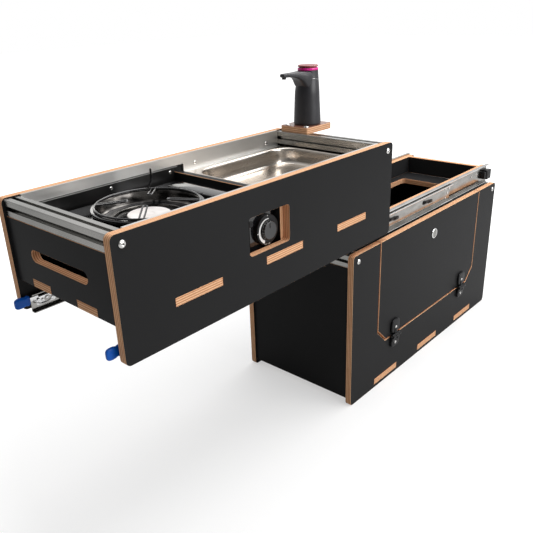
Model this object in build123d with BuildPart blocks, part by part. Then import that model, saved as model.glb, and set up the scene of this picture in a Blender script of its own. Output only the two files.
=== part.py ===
from build123d import *
import os

os.makedirs("parts", exist_ok=True)

# Campervan kitchen pod: a lower cabinet and an upper cooking unit that rides on it on two
# slides. The model stands as photographed, with the upper unit drawn out to the left.
# X runs along the length, Y from front to back and Z up from the floor, in millimetres.
# Front and back are the two long sides. Left and right are the two ends.

# Boards and the two boxes
body_length = 750.0
body_width = 326.8
ply = 15.0
overrun = 5.0
seat_gap = 0.15
unit_pull = 606.0
cabinet_height = 392.4
box_gap = 15.6
unit_height = 213.2
board_corner = 10.0
end_inset = 5.0
cabinet_floor_low = 9.5
cabinet_end_low = 14.5
unit_floor_raise = 62.0
side_tenon_shares = ((0.1413, 0.2813), (0.4327, 0.5727), (0.726, 0.8653))
end_tenon_shares = ((0.2081, 0.3764), (0.6242, 0.7925))

# Slotted rails along the ends of both boxes
rail_size = 30.0
rail_inset = 5.0
rail_corner = 1.5
rail_mouth = 8.2
rail_lip = 2.0
rail_cavity_width = 13.0
rail_cavity_depth = 5.5
rail_core_radius = 3.1
cabinet_rail_drop = 2.0
unit_rail_drop = 2.2

# Button-head bolts into the rails
bolt_radius = 3.0
bolt_head_radius = 6.5
bolt_head_height = 3.3
bolt_head_edge = 1.4
bolt_socket_radius = 2.3
bolt_socket_depth = 1.8
bolt_reach = 20.0

# Wood screws
screw_radius = 1.75
screw_head_radius = 4.0
screw_head_height = 1.4
screw_length = 11.0

# Flap in the front of the cabinet, with its hinges
flap_margin = 111.0
flap_opening_low = 117.25
flap_chamfer = 38.0
flap_gap = 3.5
hinge_place_shares = (0.2533, 0.7467)
hinge_width = 37.0
hinge_leaf = 6.5
hinge_axis_out = 7.0
hinge_axis_high = 119.0
hinge_knuckle_radius = 6.0
hinge_knuckle_gap = 0.3
hinge_pin_radius = 2.0
hinge_pin_fit = 0.05
hinge_upper_top = 163.5
hinge_lower_bottom = 86.0
hinge_clearance = 1.2
hinge_corner = 5.0
hinge_screw_offset = 22.0
hinge_middle = 13.0

# Quarter-turn lock in the flap
lock_drop = 53.4
lock_ring_radius = 13.6
lock_ring_thickness = 2.2
lock_stem_radius = 9.5
lock_nut_radius = 13.0
lock_nut_thickness = 5.0
lock_barrel_radius = 7.5
lock_barrel_fit = 0.05
lock_face_radius = 10.5
lock_face_depth = 1.2
lock_slot_width = 2.4
lock_slot_depth = 1.4
lock_tail = 3.0
cam_thickness = 2.0
cam_width = 15.0
cam_reach = 25.0
keeper_thickness = 2.0
keeper_width = 34.0
keeper_drop = 18.0
keeper_depth = 26.0
keeper_setback = 2.0

# Tray between the boxes: cabinet top, runner boards and tray ends
top_opening_margin = 109.0
top_opening_near = 77.0
top_opening_far_margin = 76.8
top_opening_corner = 12.0
runner_depth = 34.0
runner_height = 50.0
tray_end_inset = 18.0

# Slides: outer channel on the runner board, middle member, inner member on the unit's skirt
slide_raise = 1.0
slide_height = 53.0
slide_sheet = 1.5
channel_depth = 8.5
middle_height = 44.0
middle_web_depth = 29.0
middle_edge_depth = 18.0
inner_height = 36.0
inner_edge_depth = 25.5
inner_start = 16.0
member_setback = 38.0
middle_length = 696.0
middle_start = 412.0
channel_start = 16.0
cage_clearance = 0.4
cage_width = 4.0
outer_cage_margin = 18.0
inner_cage_margin = 8.0
inner_cage_end_margin = 12.0
latch_place_shares = (0.5431, 0.7888)
latch_length = 48.0
latch_height = 8.0
latch_thickness = 2.0
latch_tip = 14.0
slide_screw_margin = 65.0
slide_screw_spacing = 35.0
slide_screw_raise = 7.0
bumper_setback = 35.0
bumper_overhang = 8.0
bumper_raise = 6.6
bumper_height = 33.0
bumper_edge_depth = 19.0
bumper_corner = 4.0

# Slide lever: arm on a rivet inside the inner member, with a moulded grip
lever_overhang = 18.0
grip_length = 30.0
grip_raise = 26.6
grip_height = 21.0
grip_thickness = 8.0
grip_depth = 20.0
grip_corner = 5.0
grip_edge = 2.0
arm_depth = 22.6
arm_thickness = 2.0
arm_width = 8.0
arm_end = 62.0
rivet_place = 46.0
rivet_raise = 28.6
rivet_radius = 4.0
rivet_fit = 0.05
rivet_head_radius = 6.5
rivet_head_height = 1.2
arm_boss_radius = 8.0

# Hand slot in the left end of the unit and knob opening in its front. Heights in the unit,
# here and for the stove, are above its floor board.
hand_slot_near = 81.0
hand_slot_far_margin = 78.8
hand_slot_low = 36.0
hand_slot_height = 22.0
knob_opening_left = 66.0
knob_opening_right = 44.0
knob_opening_low = 13.0
knob_opening_high = 85.0
knob_opening_corner = 7.0

# Partition, edge bands, sink ledges and heat shield inside the unit
partition_gap = 4.0
partition_drop = 1.5
band_thickness = 5.0
band_width = 20.2
ledge_gap = 8.0
ledge_height = 20.0
ledge_foot_thickness = 3.0
ledge_foot_depth = 25.0
shield_thickness = 1.2
shield_low = 3.0
shield_drop = 1.0
shield_lip = 12.0
ledge_screw_margin = 33.7
ledge_screw_end_margin = 43.0
shield_screw_margin = 35.0
shield_screw_end_margin = 12.0
band_screw_raise = 16.0

# Sink pan, tilted out by its left edge
pan_gap = 2.0
pan_tuck = 9.0
pan_side_gap = 15.9
pan_flange_corner = 14.0
pan_rim = 10.0
pan_side_rim = 11.0
pan_bowl_corner = 58.0
pan_depth = 39.0
pan_draft = 4.0
pan_bottom_radius = 15.0
pan_sheet = 1.0

# Gas stove
stove_start = 40.0
stove_end = 378.0
stove_near = 24.0
stove_back_gap = 11.8
stove_high = 87.0
stove_corner = 14.0
stove_top_edge = 4.0
stove_wall = 2.0
stove_foot_radius = 9.0
stove_foot_height = 6.0
stove_foot_inset = 26.0
burner_inset = 174.0
burner_back = 124.0
bowl_rim_radius = 102.5
bowl_rim_high = 100.0
bowl_rim_width = 6.0
bowl_floor_radius = 70.0
bowl_floor_high = 76.0
bowl_sheet = 1.2
bowl_mouth_radius = 26.0
stove_hole_gap = 1.0
burner_disc_radius = 40.0
burner_disc_thickness = 3.0
burner_disc_high = 83.0
burner_neck_radius = 24.0
burner_lip_radius = 32.0
burner_lip_thickness = 3.0
burner_pipe_radius = 9.0
burner_pipe_length = 92.0
burner_foot_radius = 16.0
bowl_bead_inner = 62.0
bowl_bead_outer = 66.0
bowl_bead_height = 5.0

# Pan support: a ring with four low looped wire arms and one upright wire
support_ring_half = 2.0
arm_wire_radius = 1.7
support_ring_radius = 95.0
support_inner_radius = 36.0
support_arm_width = 8.0
support_arm_rise = 5.0
support_high = 141.0
support_upright_turn = 52.0
support_lean_high = 121.0
support_lean = 9.0
support_clearance = 0.3

# Cartridge lid on the stove
lid_inset = 10.0
lid_width = 40.0
lid_near_inset = 8.0
lid_far_inset = 38.0
lid_side_height = 5.0
lid_crown = 7.0
lid_gap = 0.5
lid_sheet = 2.0
lid_pin_radius = 1.5
lid_pin_fit = 0.05
lid_knuckle_radius = 3.0
lid_knuckle_length = 14.0
lid_knuckle_raise = 3.6
lid_bay_margin = 6.0

# Stove knob and gas lever
knob_inset = 31.0
knob_high = 43.0
knob_seat_radius = 29.0
knob_ring_depth = 15.5
knob_ring_thickness = 3.0
knob_ring_width = 9.8
knob_skirt_radius = 18.6
knob_skirt_depth = 13.5
knob_face_depth = 8.5
knob_face_radius = 17.6
knob_gap = 0.4
knob_shaft_radius = 4.0
knob_shaft_fit = 0.05
knob_shaft_length = 18.0
knob_pointer_width = 3.0
knob_pointer_height = 0.8
knob_pointer_start = 6.0
gas_slot_offset = 42.0
gas_slot_low = 17.0
gas_slot_high = 68.0
gas_slot_width = 4.0
gas_lever_stem = 1.6
gas_lever_radius = 4.5
gas_lever_depth = 17.0
gas_lever_length = 5.0
gas_lever_high = 64.0
gas_lever_tail = 8.0
gas_lever_plate = 12.0
gas_plate_thickness = 1.5

# Tap on its plate. Heights of the tap are above the plate.
plate_setback = 30.0
plate_length = 97.0
plate_width = 82.0
plate_back_margin = 27.8
plate_bolt_near = 10.0
plate_bolt_far = 15.0
plate_corner = 4.0
slot_nut_height = 3.0
slot_nut_half = 6.0
tap_inset = 51.0
tap_near = 39.0
tap_base_radius = 33.3
tap_base_edge = 2.5
tap_waist_radius = 30.0
tap_waist_high = 81.0
tap_neck_high = 103.0
tap_head_radius = 25.0
tap_head_shift = 4.0
tap_head_high = 127.0
tap_spout_reach = 93.0
tap_spout_tip_low = 117.5
tap_spout_tip_high = 126.5
tap_spout_under = 88.0
tap_spout_width = 20.0
tap_spout_tip_width = 15.0
tap_spout_corner = 2.5
tap_nozzle_radius = 5.0
tap_nozzle_bore = 4.0
tap_nozzle_inset = 8.0
tap_nozzle_length = 4.0
tap_ring_height = 5.5
tap_ring_thickness = 3.0
tap_button_height = 6.5
tap_button_edge = 1.8
tap_button_travel = 2.0
tap_button_gap = 0.3
tap_button_skirt = 5.5
tap_button_stop = 1.0

# Heights that follow from the sizes above
unit_low = cabinet_height + box_gap
unit_high = unit_low + unit_height
unit_floor_low = unit_low + unit_floor_raise
bay_floor = unit_floor_low + ply
cabinet_rail_low = cabinet_height - cabinet_rail_drop - rail_size
cabinet_top_low = cabinet_height - cabinet_rail_drop - ply
unit_rail_low = unit_high - unit_rail_drop - rail_size
runner_low = cabinet_top_low + ply
runner_high = runner_low + runner_height
slide_low = runner_low + slide_raise
bumper_low = slide_low + bumper_raise
bumper_high = bumper_low + bumper_height
grip_low = slide_low + grip_raise
grip_high = grip_low + grip_height
rivet_height = slide_low + rivet_raise
partition_high = unit_rail_low - partition_drop
band_low = unit_high - band_width
ledge_low = band_low - ledge_height
shield_high = band_low - shield_drop
knob_z = bay_floor + knob_high

# Places along each box, from its left end
side_tenons = [(body_length * share[0], body_length * share[1]) for share in side_tenon_shares]
hinge_places = [body_length * share for share in hinge_place_shares]
rails_end = rail_inset + rail_size
partition_start = stove_end + partition_gap
partition_end = partition_start + ply
ledge_start = partition_end + ledge_gap
ledge_screw_places = (ledge_start + ledge_screw_margin, body_length - rails_end - ledge_screw_end_margin)
shield_screw_end = partition_start - shield_screw_end_margin
shield_screw_middle = (rails_end + shield_screw_margin + shield_screw_end) / 2
shield_screw_places = (rails_end + shield_screw_margin, shield_screw_middle, shield_screw_end)
pan_start = partition_end + pan_gap
pan_flange_length = body_length - rails_end + pan_tuck - pan_start
pan_bowl_length = pan_flange_length - 2 * pan_rim
lid_end = stove_end - lid_inset
lid_start = lid_end - lid_width
burner_x = stove_end - burner_inset
knob_x = stove_end - knob_inset
gas_slot_x = knob_x - gas_slot_offset
knob_opening = (knob_x - knob_opening_left, knob_x + knob_opening_right)
plate_start = body_length - plate_setback
plate_end = plate_start + plate_length
tap_x = plate_start + tap_inset
member_end = body_length - member_setback
middle_end = middle_start + middle_length
slide_screw_inner = slide_screw_margin + slide_screw_spacing
slide_screw_places = (
    slide_screw_margin,
    slide_screw_inner,
    body_length - slide_screw_inner,
    body_length - slide_screw_margin,
)
bumper_start = body_length - bumper_setback
outer_cage = (unit_pull + channel_start + outer_cage_margin, middle_end - outer_cage_margin)
inner_cage = (middle_start + inner_cage_margin, member_end - inner_cage_end_margin)
latch_places = [middle_start + middle_length * share for share in latch_place_shares]

# Places across the width, from the front
end_tenons = [(body_width * share[0], body_width * share[1]) for share in end_tenon_shares]
top_opening_length = body_length - 2 * top_opening_margin
top_opening_far = body_width - top_opening_far_margin
hand_slot_far = body_width - hand_slot_far_margin
pan_flange_width = body_width - 2 * ply - 2 * pan_side_gap
pan_bowl_width = pan_flange_width - 2 * pan_side_rim
stove_far = body_width - ply - stove_back_gap
burner_y = stove_far - burner_back
lid_near = stove_near + lid_near_inset
lid_far = stove_far - lid_far_inset
plate_far = body_width - plate_back_margin
plate_near = plate_far - plate_width
tap_y = plate_near + tap_near

# Reference frame: the origin is under the middle of everything, on the floor
hinge_proud = hinge_axis_out + hinge_knuckle_radius
overall_length = lever_overhang + unit_pull + body_length + bumper_overhang
overall_width = hinge_proud + body_width + bolt_head_height
unit_x = lever_overhang - overall_length / 2
cabinet_x = unit_x + unit_pull
front_y = hinge_proud - overall_width / 2
back_y = front_y + body_width
middle_y = (front_y + back_y) / 2
inside_near = front_y + ply
inside_far = back_y - ply
sides = ("front", "back")
ends = ("left", "right")


def depth(side, amount):
    """Y of a plane that lies a given depth inside the outer face of one long side."""
    if side == "front":
        return front_y + amount
    return back_y - amount


def raised(amount):
    """Z of a plane that lies a given height above the unit's floor board."""
    return bay_floor + amount


def from_end(start, end, amount):
    """X of a plane that lies a given distance in from one end of a box that begins at start."""
    if end == "left":
        return start + amount
    return start + body_length - amount


def toward(side):
    """Direction from outside into the box through one long side."""
    return (0, 1, 0) if side == "front" else (0, -1, 0)


def outward(side):
    """Direction from inside the box out through one long side."""
    return (0, -1, 0) if side == "front" else (0, 1, 0)


def block(x, y, z, mode=Mode.ADD):
    """Box between two limits along each axis, in any order."""
    middle = ((x[0] + x[1]) / 2, (y[0] + y[1]) / 2, (z[0] + z[1]) / 2)
    with Locations(middle):
        Box(abs(x[1] - x[0]), abs(y[1] - y[0]), abs(z[1] - z[0]), mode=mode)


def rod(start, direction, radius, length, mode=Mode.ADD):
    """Round bar from a start point along a direction."""
    with Locations(Plane(origin=start, z_dir=direction)):
        Cylinder(radius, length, align=(Align.CENTER, Align.CENTER, Align.MIN), mode=mode)


def wire(points, radius):
    """Round wire through points, with a ball at each corner."""
    for here, there in zip(points[:-1], points[1:]):
        rod(here, there - here, radius, (there - here).length)
    for corner in points[1:-1]:
        with Locations(corner):
            Sphere(radius)


def upright(y):
    """Plane that faces the front at a given Y, with X across and Z up."""
    return Plane.XZ.offset(-y)


def save(piece, label):
    """Labels a finished piece and writes it under the same name."""
    piece.part.label = label
    export_step(piece.part, f"parts/{label}.step")


def shifted(span, start):
    """Span of two places moved along X to a box that begins at start."""
    return (start + span[0], start + span[1])


# Long side boards

def side_board(start, side, low, high, floor_low, rail_low):
    """Board with rounded corners, three tenon slots for the floor and a bolt hole at each rail."""
    back_face = max(depth(side, 0), depth(side, ply))
    through = (depth(side, -overrun), depth(side, ply + overrun))
    with BuildPart() as board:
        with BuildSketch(upright(back_face)):
            with Locations((start + body_length / 2, (low + high) / 2)):
                RectangleRounded(body_length, high - low, board_corner)
        extrude(amount=ply)
        for tenon in side_tenons:
            slot = (start + tenon[0] - seat_gap, start + tenon[1] + seat_gap)
            block(slot, through, (floor_low - seat_gap, floor_low + ply + seat_gap), Mode.SUBTRACT)
        for end in ends:
            centre = from_end(start, end, rail_inset + rail_size / 2)
            hole = (centre, depth(side, -overrun), rail_low + rail_size / 2)
            rod(hole, toward(side), bolt_radius + seat_gap, ply + 2 * overrun, Mode.SUBTRACT)
    return board


def flap_outline(margin, low):
    """Outline of the flap or of its opening: open at the top, with two cut corners below."""
    left = cabinet_x + margin
    right = cabinet_x + body_length - margin
    cut = flap_chamfer
    Polyline(
        (left, cabinet_height),
        (left, low + cut),
        (left + cut, low),
        (right - cut, low),
        (right, low + cut),
        (right, cabinet_height),
        close=True,
    )


with BuildPart() as cabinet_front:
    add(side_board(cabinet_x, "front", 0, cabinet_height, cabinet_floor_low, cabinet_rail_low).part)
    with BuildSketch(upright(inside_near)):
        with BuildLine():
            flap_outline(flap_margin, flap_opening_low)
        make_face()
    extrude(amount=ply, mode=Mode.SUBTRACT)
save(cabinet_front, "cabinet_front_panel")

cabinet_back = side_board(cabinet_x, "back", 0, cabinet_height, cabinet_floor_low, cabinet_rail_low)
save(cabinet_back, "cabinet_back_panel")

with BuildPart() as unit_front:
    add(side_board(unit_x, "front", unit_low, unit_high, unit_floor_low, unit_rail_low).part)
    with BuildSketch(upright(inside_near)):
        opening_middle = unit_x + (knob_opening[0] + knob_opening[1]) / 2
        with Locations((opening_middle, (raised(knob_opening_low) + raised(knob_opening_high)) / 2)):
            RectangleRounded(
                knob_opening[1] - knob_opening[0],
                raised(knob_opening_high) - raised(knob_opening_low),
                knob_opening_corner,
            )
    extrude(amount=ply, mode=Mode.SUBTRACT)
save(unit_front, "unit_front_panel")

unit_back = side_board(unit_x, "back", unit_low, unit_high, unit_floor_low, unit_rail_low)
save(unit_back, "unit_back_panel")


# End boards

def end_board(start, end, low, high):
    """Plain board across one end, between the long sides and under the rail."""
    with BuildPart() as board:
        outer = from_end(start, end, end_inset)
        inner = from_end(start, end, end_inset + ply)
        block((outer, inner), (inside_near, inside_far), (low, high))
    return board


for end in ends:
    save(end_board(cabinet_x, end, cabinet_end_low, cabinet_rail_low), f"cabinet_{end}_end")

for end in ends:
    with BuildPart() as unit_end:
        add(end_board(unit_x, end, unit_floor_low, unit_rail_low).part)
        outer_face = from_end(unit_x, end, end_inset)
        inner_face = from_end(unit_x, end, end_inset + ply)
        for tenon in end_tenons:
            notch = (front_y + tenon[0] - seat_gap, front_y + tenon[1] + seat_gap)
            top = unit_floor_low + ply + seat_gap
            block((outer_face, inner_face), notch, (unit_floor_low - overrun, top), Mode.SUBTRACT)
        if end == "left":
            with BuildSketch(Plane.YZ.offset(outer_face)):
                slot_middle = front_y + (hand_slot_near + hand_slot_far) / 2
                with Locations((slot_middle, raised(hand_slot_low) + hand_slot_height / 2)):
                    SlotOverall(hand_slot_far - hand_slot_near, hand_slot_height)
            extrude(amount=ply, mode=Mode.SUBTRACT)
    save(unit_end, f"unit_{end}_end")


# Floors, with tenons that come through the side boards

with BuildPart() as cabinet_floor:
    floor_z = (cabinet_floor_low, cabinet_floor_low + ply)
    floor_x = (from_end(cabinet_x, "left", end_inset + ply), from_end(cabinet_x, "right", end_inset + ply))
    block(floor_x, (inside_near, inside_far), floor_z)
    for tenon in side_tenons:
        block(shifted(tenon, cabinet_x), (front_y, back_y), floor_z)
save(cabinet_floor, "cabinet_floor")

with BuildPart() as unit_floor:
    floor_z = (unit_floor_low, unit_floor_low + ply)
    floor_x = (from_end(unit_x, "left", end_inset + ply), from_end(unit_x, "right", end_inset + ply))
    tenon_x = (from_end(unit_x, "left", end_inset), from_end(unit_x, "right", end_inset))
    block(floor_x, (inside_near, inside_far), floor_z)
    for tenon in side_tenons:
        block(shifted(tenon, unit_x), (front_y, back_y), floor_z)
    for tenon in end_tenons:
        block(tenon_x, (front_y + tenon[0], front_y + tenon[1]), floor_z)
save(unit_floor, "unit_floor")

with BuildPart() as unit_partition:
    partition_x = (unit_x + partition_start, unit_x + partition_start + ply)
    block(partition_x, (inside_near, inside_far), (bay_floor, partition_high))
save(unit_partition, "unit_partition")


# Slotted rails

def slotted_rail(start, end, low):
    """Square rail with a slot along each face and a round core hole for the end bolts."""
    centre_x = from_end(start, end, rail_inset + rail_size / 2)
    centre_z = low + rail_size / 2
    lip_middle = (rail_size - rail_lip) / 2
    cavity_middle = (rail_size - rail_cavity_depth) / 2 - rail_lip
    with BuildPart() as rail:
        with BuildSketch(upright(inside_far)):
            with Locations((centre_x, centre_z)):
                RectangleRounded(rail_size, rail_size, rail_corner)
                Circle(rail_core_radius, mode=Mode.SUBTRACT)
                with PolarLocations(lip_middle, 4):
                    Rectangle(2 * rail_lip, rail_mouth, mode=Mode.SUBTRACT)
                with PolarLocations(cavity_middle, 4):
                    Rectangle(rail_cavity_depth, rail_cavity_width, mode=Mode.SUBTRACT)
        extrude(amount=inside_far - inside_near)
    return rail


for end in ends:
    save(slotted_rail(cabinet_x, end, cabinet_rail_low), f"cabinet_{end}_rail")
    save(slotted_rail(unit_x, end, unit_rail_low), f"unit_{end}_rail")


# Bolts and screws

def bolt(seat, direction, reach):
    """Button-head bolt whose head stands on a seat point and whose shank runs along a direction."""
    head_plane = Plane(origin=seat, z_dir=direction)
    with BuildPart(head_plane) as piece:
        Cylinder(
            bolt_head_radius, bolt_head_height, align=(Align.CENTER, Align.CENTER, Align.MAX)
        )
        rims = piece.edges().filter_by(GeomType.CIRCLE)
        chamfer(rims.sort_by(Axis(seat, direction))[0], bolt_head_edge)
        Cylinder(bolt_radius, reach, align=(Align.CENTER, Align.CENTER, Align.MIN))
        with BuildSketch(head_plane.offset(-bolt_head_height)):
            RegularPolygon(bolt_socket_radius, 6)
        extrude(amount=bolt_socket_depth, mode=Mode.SUBTRACT)
    return piece.part


def slot_nut(x, y, top):
    """Square nut that lies under the lips of a rail's slot, threaded on a bolt."""
    with BuildPart() as piece:
        across = (x - slot_nut_half, x + slot_nut_half)
        along = (y - slot_nut_half, y + slot_nut_half)
        block(across, along, (top - slot_nut_height, top))
        rod((x, y, top - slot_nut_height), (0, 0, 1), bolt_radius, slot_nut_height, Mode.SUBTRACT)
    return piece.part


def screw(seat, direction):
    """Low-headed wood screw whose head stands on a seat point."""
    with BuildPart(Plane(origin=seat, z_dir=direction)) as piece:
        Cylinder(
            screw_head_radius, screw_head_height, align=(Align.CENTER, Align.CENTER, Align.MAX)
        )
        Cylinder(screw_radius, screw_length, align=(Align.CENTER, Align.CENTER, Align.MIN))
    return piece.part


def screw_holes(seats, direction):
    """Cuts a clearance hole for each screw seated on the piece being made."""
    for seat in seats:
        rod(seat, direction, screw_radius + seat_gap, screw_length, Mode.SUBTRACT)


def group(label, members):
    """Writes like fasteners of one body together, as separate solids."""
    fasteners = Compound(label=label, children=members)
    export_step(fasteners, f"parts/{label}.step")


def corner_bolts(start, low):
    """Four bolts through the side boards into the cores of the two rails."""
    bolts = []
    for end in ends:
        for side in sides:
            seat = (
                from_end(start, end, rail_inset + rail_size / 2),
                depth(side, 0),
                low + rail_size / 2,
            )
            bolts.append(bolt(seat, toward(side), ply + bolt_reach))
    return bolts


group("cabinet_bolts", corner_bolts(cabinet_x, cabinet_rail_low))


# Tray: cabinet top, runner boards and tray ends

with BuildPart() as cabinet_top:
    top_x = (from_end(cabinet_x, "left", rails_end), from_end(cabinet_x, "right", rails_end))
    block(top_x, (inside_near, inside_far), (cabinet_top_low, cabinet_top_low + ply))
    with BuildSketch(Plane.XY.offset(cabinet_top_low)):
        opening_y = front_y + (top_opening_near + top_opening_far) / 2
        with Locations((cabinet_x + body_length / 2, opening_y)):
            RectangleRounded(top_opening_length, top_opening_far - top_opening_near, top_opening_corner)
    extrude(amount=ply, mode=Mode.SUBTRACT)
save(cabinet_top, "cabinet_top_panel")

for side in sides:
    with BuildPart() as runner_board:
        runner_y = (depth(side, runner_depth), depth(side, runner_depth + ply))
        block((cabinet_x, cabinet_x + body_length), runner_y, (runner_low, runner_high))
    save(runner_board, f"runner_board_{side}")

with BuildPart() as tray_ends:
    board_depth = runner_depth + ply
    for end in ends:
        end_x = (from_end(cabinet_x, end, tray_end_inset), from_end(cabinet_x, end, tray_end_inset + ply))
        end_y = (depth("front", board_depth), depth("back", board_depth))
        block(end_x, end_y, (runner_low, runner_high))
save(tray_ends, "tray_end_boards")


# Slides

slide_middle_z = slide_low + slide_height / 2
channel_web_depth = runner_depth


def channel(x, side, web_depth, edge_depth, height):
    """Folded steel channel: an upright web with a flange along its top and its bottom."""
    step = slide_sheet if edge_depth > web_depth else -slide_sheet
    low = slide_middle_z - height / 2
    high = slide_middle_z + height / 2
    web_y = (depth(side, web_depth), depth(side, web_depth + step))
    flange_y = (depth(side, web_depth), depth(side, edge_depth))
    block(x, web_y, (low, high))
    block(x, flange_y, (low, low + slide_sheet))
    block(x, flange_y, (high - slide_sheet, high))


def channel_seats(side):
    """Screw seats on the web of the outer channel."""
    y = depth(side, channel_web_depth - slide_sheet)
    return [(cabinet_x + place, y, slide_middle_z + slide_screw_raise) for place in slide_screw_places]


def inner_seats(side):
    """Screw seats on the web of the inner member."""
    y = depth(side, ply + slide_sheet)
    return [(unit_x + place, y, slide_middle_z + slide_screw_raise) for place in slide_screw_places]


for side in sides:
    with BuildPart() as slide_channel:
        channel_x = (cabinet_x + channel_start, cabinet_x + body_length)
        channel_edge = channel_web_depth - channel_depth
        channel(channel_x, side, channel_web_depth, channel_edge, slide_height)
        screw_holes(channel_seats(side), toward(side))
    save(slide_channel, f"slide_channel_{side}")

with BuildPart() as slide_middles:
    for side in sides:
        middle_x = (unit_x + middle_start, unit_x + middle_start + middle_length)
        channel(middle_x, side, middle_web_depth, middle_edge_depth, middle_height)
save(slide_middles, "slide_middle_members")

with BuildPart() as ball_cages:
    for side in sides:
        for up in (-1, 1):
            outer_seat = slide_middle_z + up * middle_height / 2
            outer_edge = slide_middle_z + up * (slide_height / 2 - slide_sheet - cage_clearance)
            inner_seat = slide_middle_z + up * (middle_height / 2 - slide_sheet)
            inner_edge = slide_middle_z + up * (inner_height / 2 + cage_clearance)
            outer_y = (depth(side, middle_web_depth), depth(side, middle_web_depth - cage_width))
            inner_y = (depth(side, inner_edge_depth), depth(side, inner_edge_depth - cage_width))
            block(shifted(outer_cage, unit_x), outer_y, (outer_seat, outer_edge))
            block(shifted(inner_cage, unit_x), inner_y, (inner_seat, inner_edge))
save(ball_cages, "slide_ball_cages")

with BuildPart() as latches:
    for side in sides:
        latch_face = middle_web_depth - slide_sheet
        for place in latch_places:
            left = unit_x + place
            rear = max(depth(side, latch_face), depth(side, latch_face - latch_thickness))
            with BuildSketch(upright(rear)):
                with BuildLine():
                    Polyline(
                        (left, slide_middle_z - latch_height / 2),
                        (left + latch_length, slide_middle_z - latch_height / 2),
                        (left + latch_length, slide_middle_z + latch_height),
                        (left + latch_length - latch_tip, slide_middle_z + latch_height / 2),
                        (left, slide_middle_z + latch_height / 2),
                        close=True,
                    )
                make_face()
            extrude(amount=latch_thickness)
save(latches, "slide_latches")

with BuildPart() as bumpers:
    for side in sides:
        bumper_x = (cabinet_x + bumper_start, cabinet_x + body_length + bumper_overhang)
        web_face = channel_web_depth - slide_sheet
        block(bumper_x, (depth(side, bumper_edge_depth), depth(side, web_face)), (bumper_low, bumper_high))
    tips = bumpers.edges().filter_by(Axis.Y).group_by(Axis.X)[-1]
    fillet(tips, bumper_corner)
save(bumpers, "slide_bumpers")

for side in sides:
    with BuildPart() as slide_inner:
        inner_x = (unit_x + inner_start, unit_x + member_end)
        channel(inner_x, side, ply, inner_edge_depth, inner_height)
        screw_holes(inner_seats(side), outward(side))
        rivet_seat = (unit_x + rivet_place, depth(side, ply), rivet_height)
        rivet_length = arm_depth + arm_thickness + seat_gap - ply
        rivet_end = (unit_x + rivet_place, depth(side, ply + rivet_length), rivet_height)
        rod(rivet_seat, toward(side), rivet_radius, rivet_length)
        rod(rivet_end, toward(side), rivet_head_radius, rivet_head_height)
    save(slide_inner, f"slide_inner_{side}")

unit_screws = []
cabinet_screws = []
for side in sides:
    cabinet_screws += [screw(seat, toward(side)) for seat in channel_seats(side)]
    unit_screws += [screw(seat, outward(side)) for seat in inner_seats(side)]


# Slide levers

def lever_arm(side):
    """Flat arm with a round boss on the rivet, a tongue inside the grip and a hooked tail."""
    half = arm_width / 2
    start = unit_x + grip_length / 2 - lever_overhang
    pivot = unit_x + rivet_place
    tail = unit_x + arm_end
    grip_middle = (grip_low + grip_high) / 2
    arm_face = max(depth(side, arm_depth), depth(side, arm_depth + arm_thickness))
    with BuildPart() as arm:
        with BuildSketch(upright(arm_face)):
            with BuildLine():
                Polyline(
                    (start, grip_middle - half),
                    (pivot, rivet_height - half),
                    (tail, rivet_height - half),
                    (tail, rivet_height + arm_width),
                    (tail - half, rivet_height + half),
                    (pivot, rivet_height + half),
                    (start, grip_middle + half),
                    close=True,
                )
            make_face()
            with Locations((pivot, rivet_height)):
                Circle(arm_boss_radius)
                Circle(rivet_radius + rivet_fit, mode=Mode.SUBTRACT)
        extrude(amount=arm_thickness)
    return arm


for side in sides:
    arm = lever_arm(side)
    save(arm, f"slide_lever_arm_{side}")
    with BuildPart() as grip:
        grip_x = (unit_x - lever_overhang, unit_x - lever_overhang + grip_length)
        grip_y = (depth(side, grip_depth), depth(side, grip_depth + grip_thickness))
        block(grip_x, grip_y, (grip_low, grip_high))
        fillet(grip.edges().filter_by(Axis.Y), grip_corner)
        fillet(grip.faces().sort_by(Axis.Y)[0].edges(), grip_edge)
        fillet(grip.faces().sort_by(Axis.Y)[-1].edges(), grip_edge)
        add(arm.part, mode=Mode.SUBTRACT)
    save(grip, f"slide_lever_grip_{side}")


# Flap with its hinges and lock

with BuildPart() as flap:
    with BuildSketch(upright(inside_near)):
        with BuildLine():
            flap_outline(flap_margin + flap_gap, flap_opening_low + flap_gap)
        make_face()
        with Locations((cabinet_x + body_length / 2, cabinet_height - lock_drop)):
            Circle(lock_stem_radius + seat_gap, mode=Mode.SUBTRACT)
    extrude(amount=ply)
save(flap, "flap")

hinge_centres = [cabinet_x + place for place in hinge_places]
axis_y = front_y - hinge_axis_out


def leaf_seats(way):
    """Screw seats on the upper leaves (way 1) or on the lower leaves (way -1)."""
    z = hinge_axis_high + way * hinge_screw_offset
    return [(centre, front_y - hinge_leaf, z) for centre in hinge_centres]


wing = (hinge_width - hinge_middle) / 2 - hinge_knuckle_gap


def knuckle(centre, width):
    """Round hinge knuckle on the hinge axis, with its pin hole left for later."""
    start = (centre - width / 2, axis_y, hinge_axis_high)
    rod(start, (1, 0, 0), hinge_knuckle_radius, width)


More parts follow.
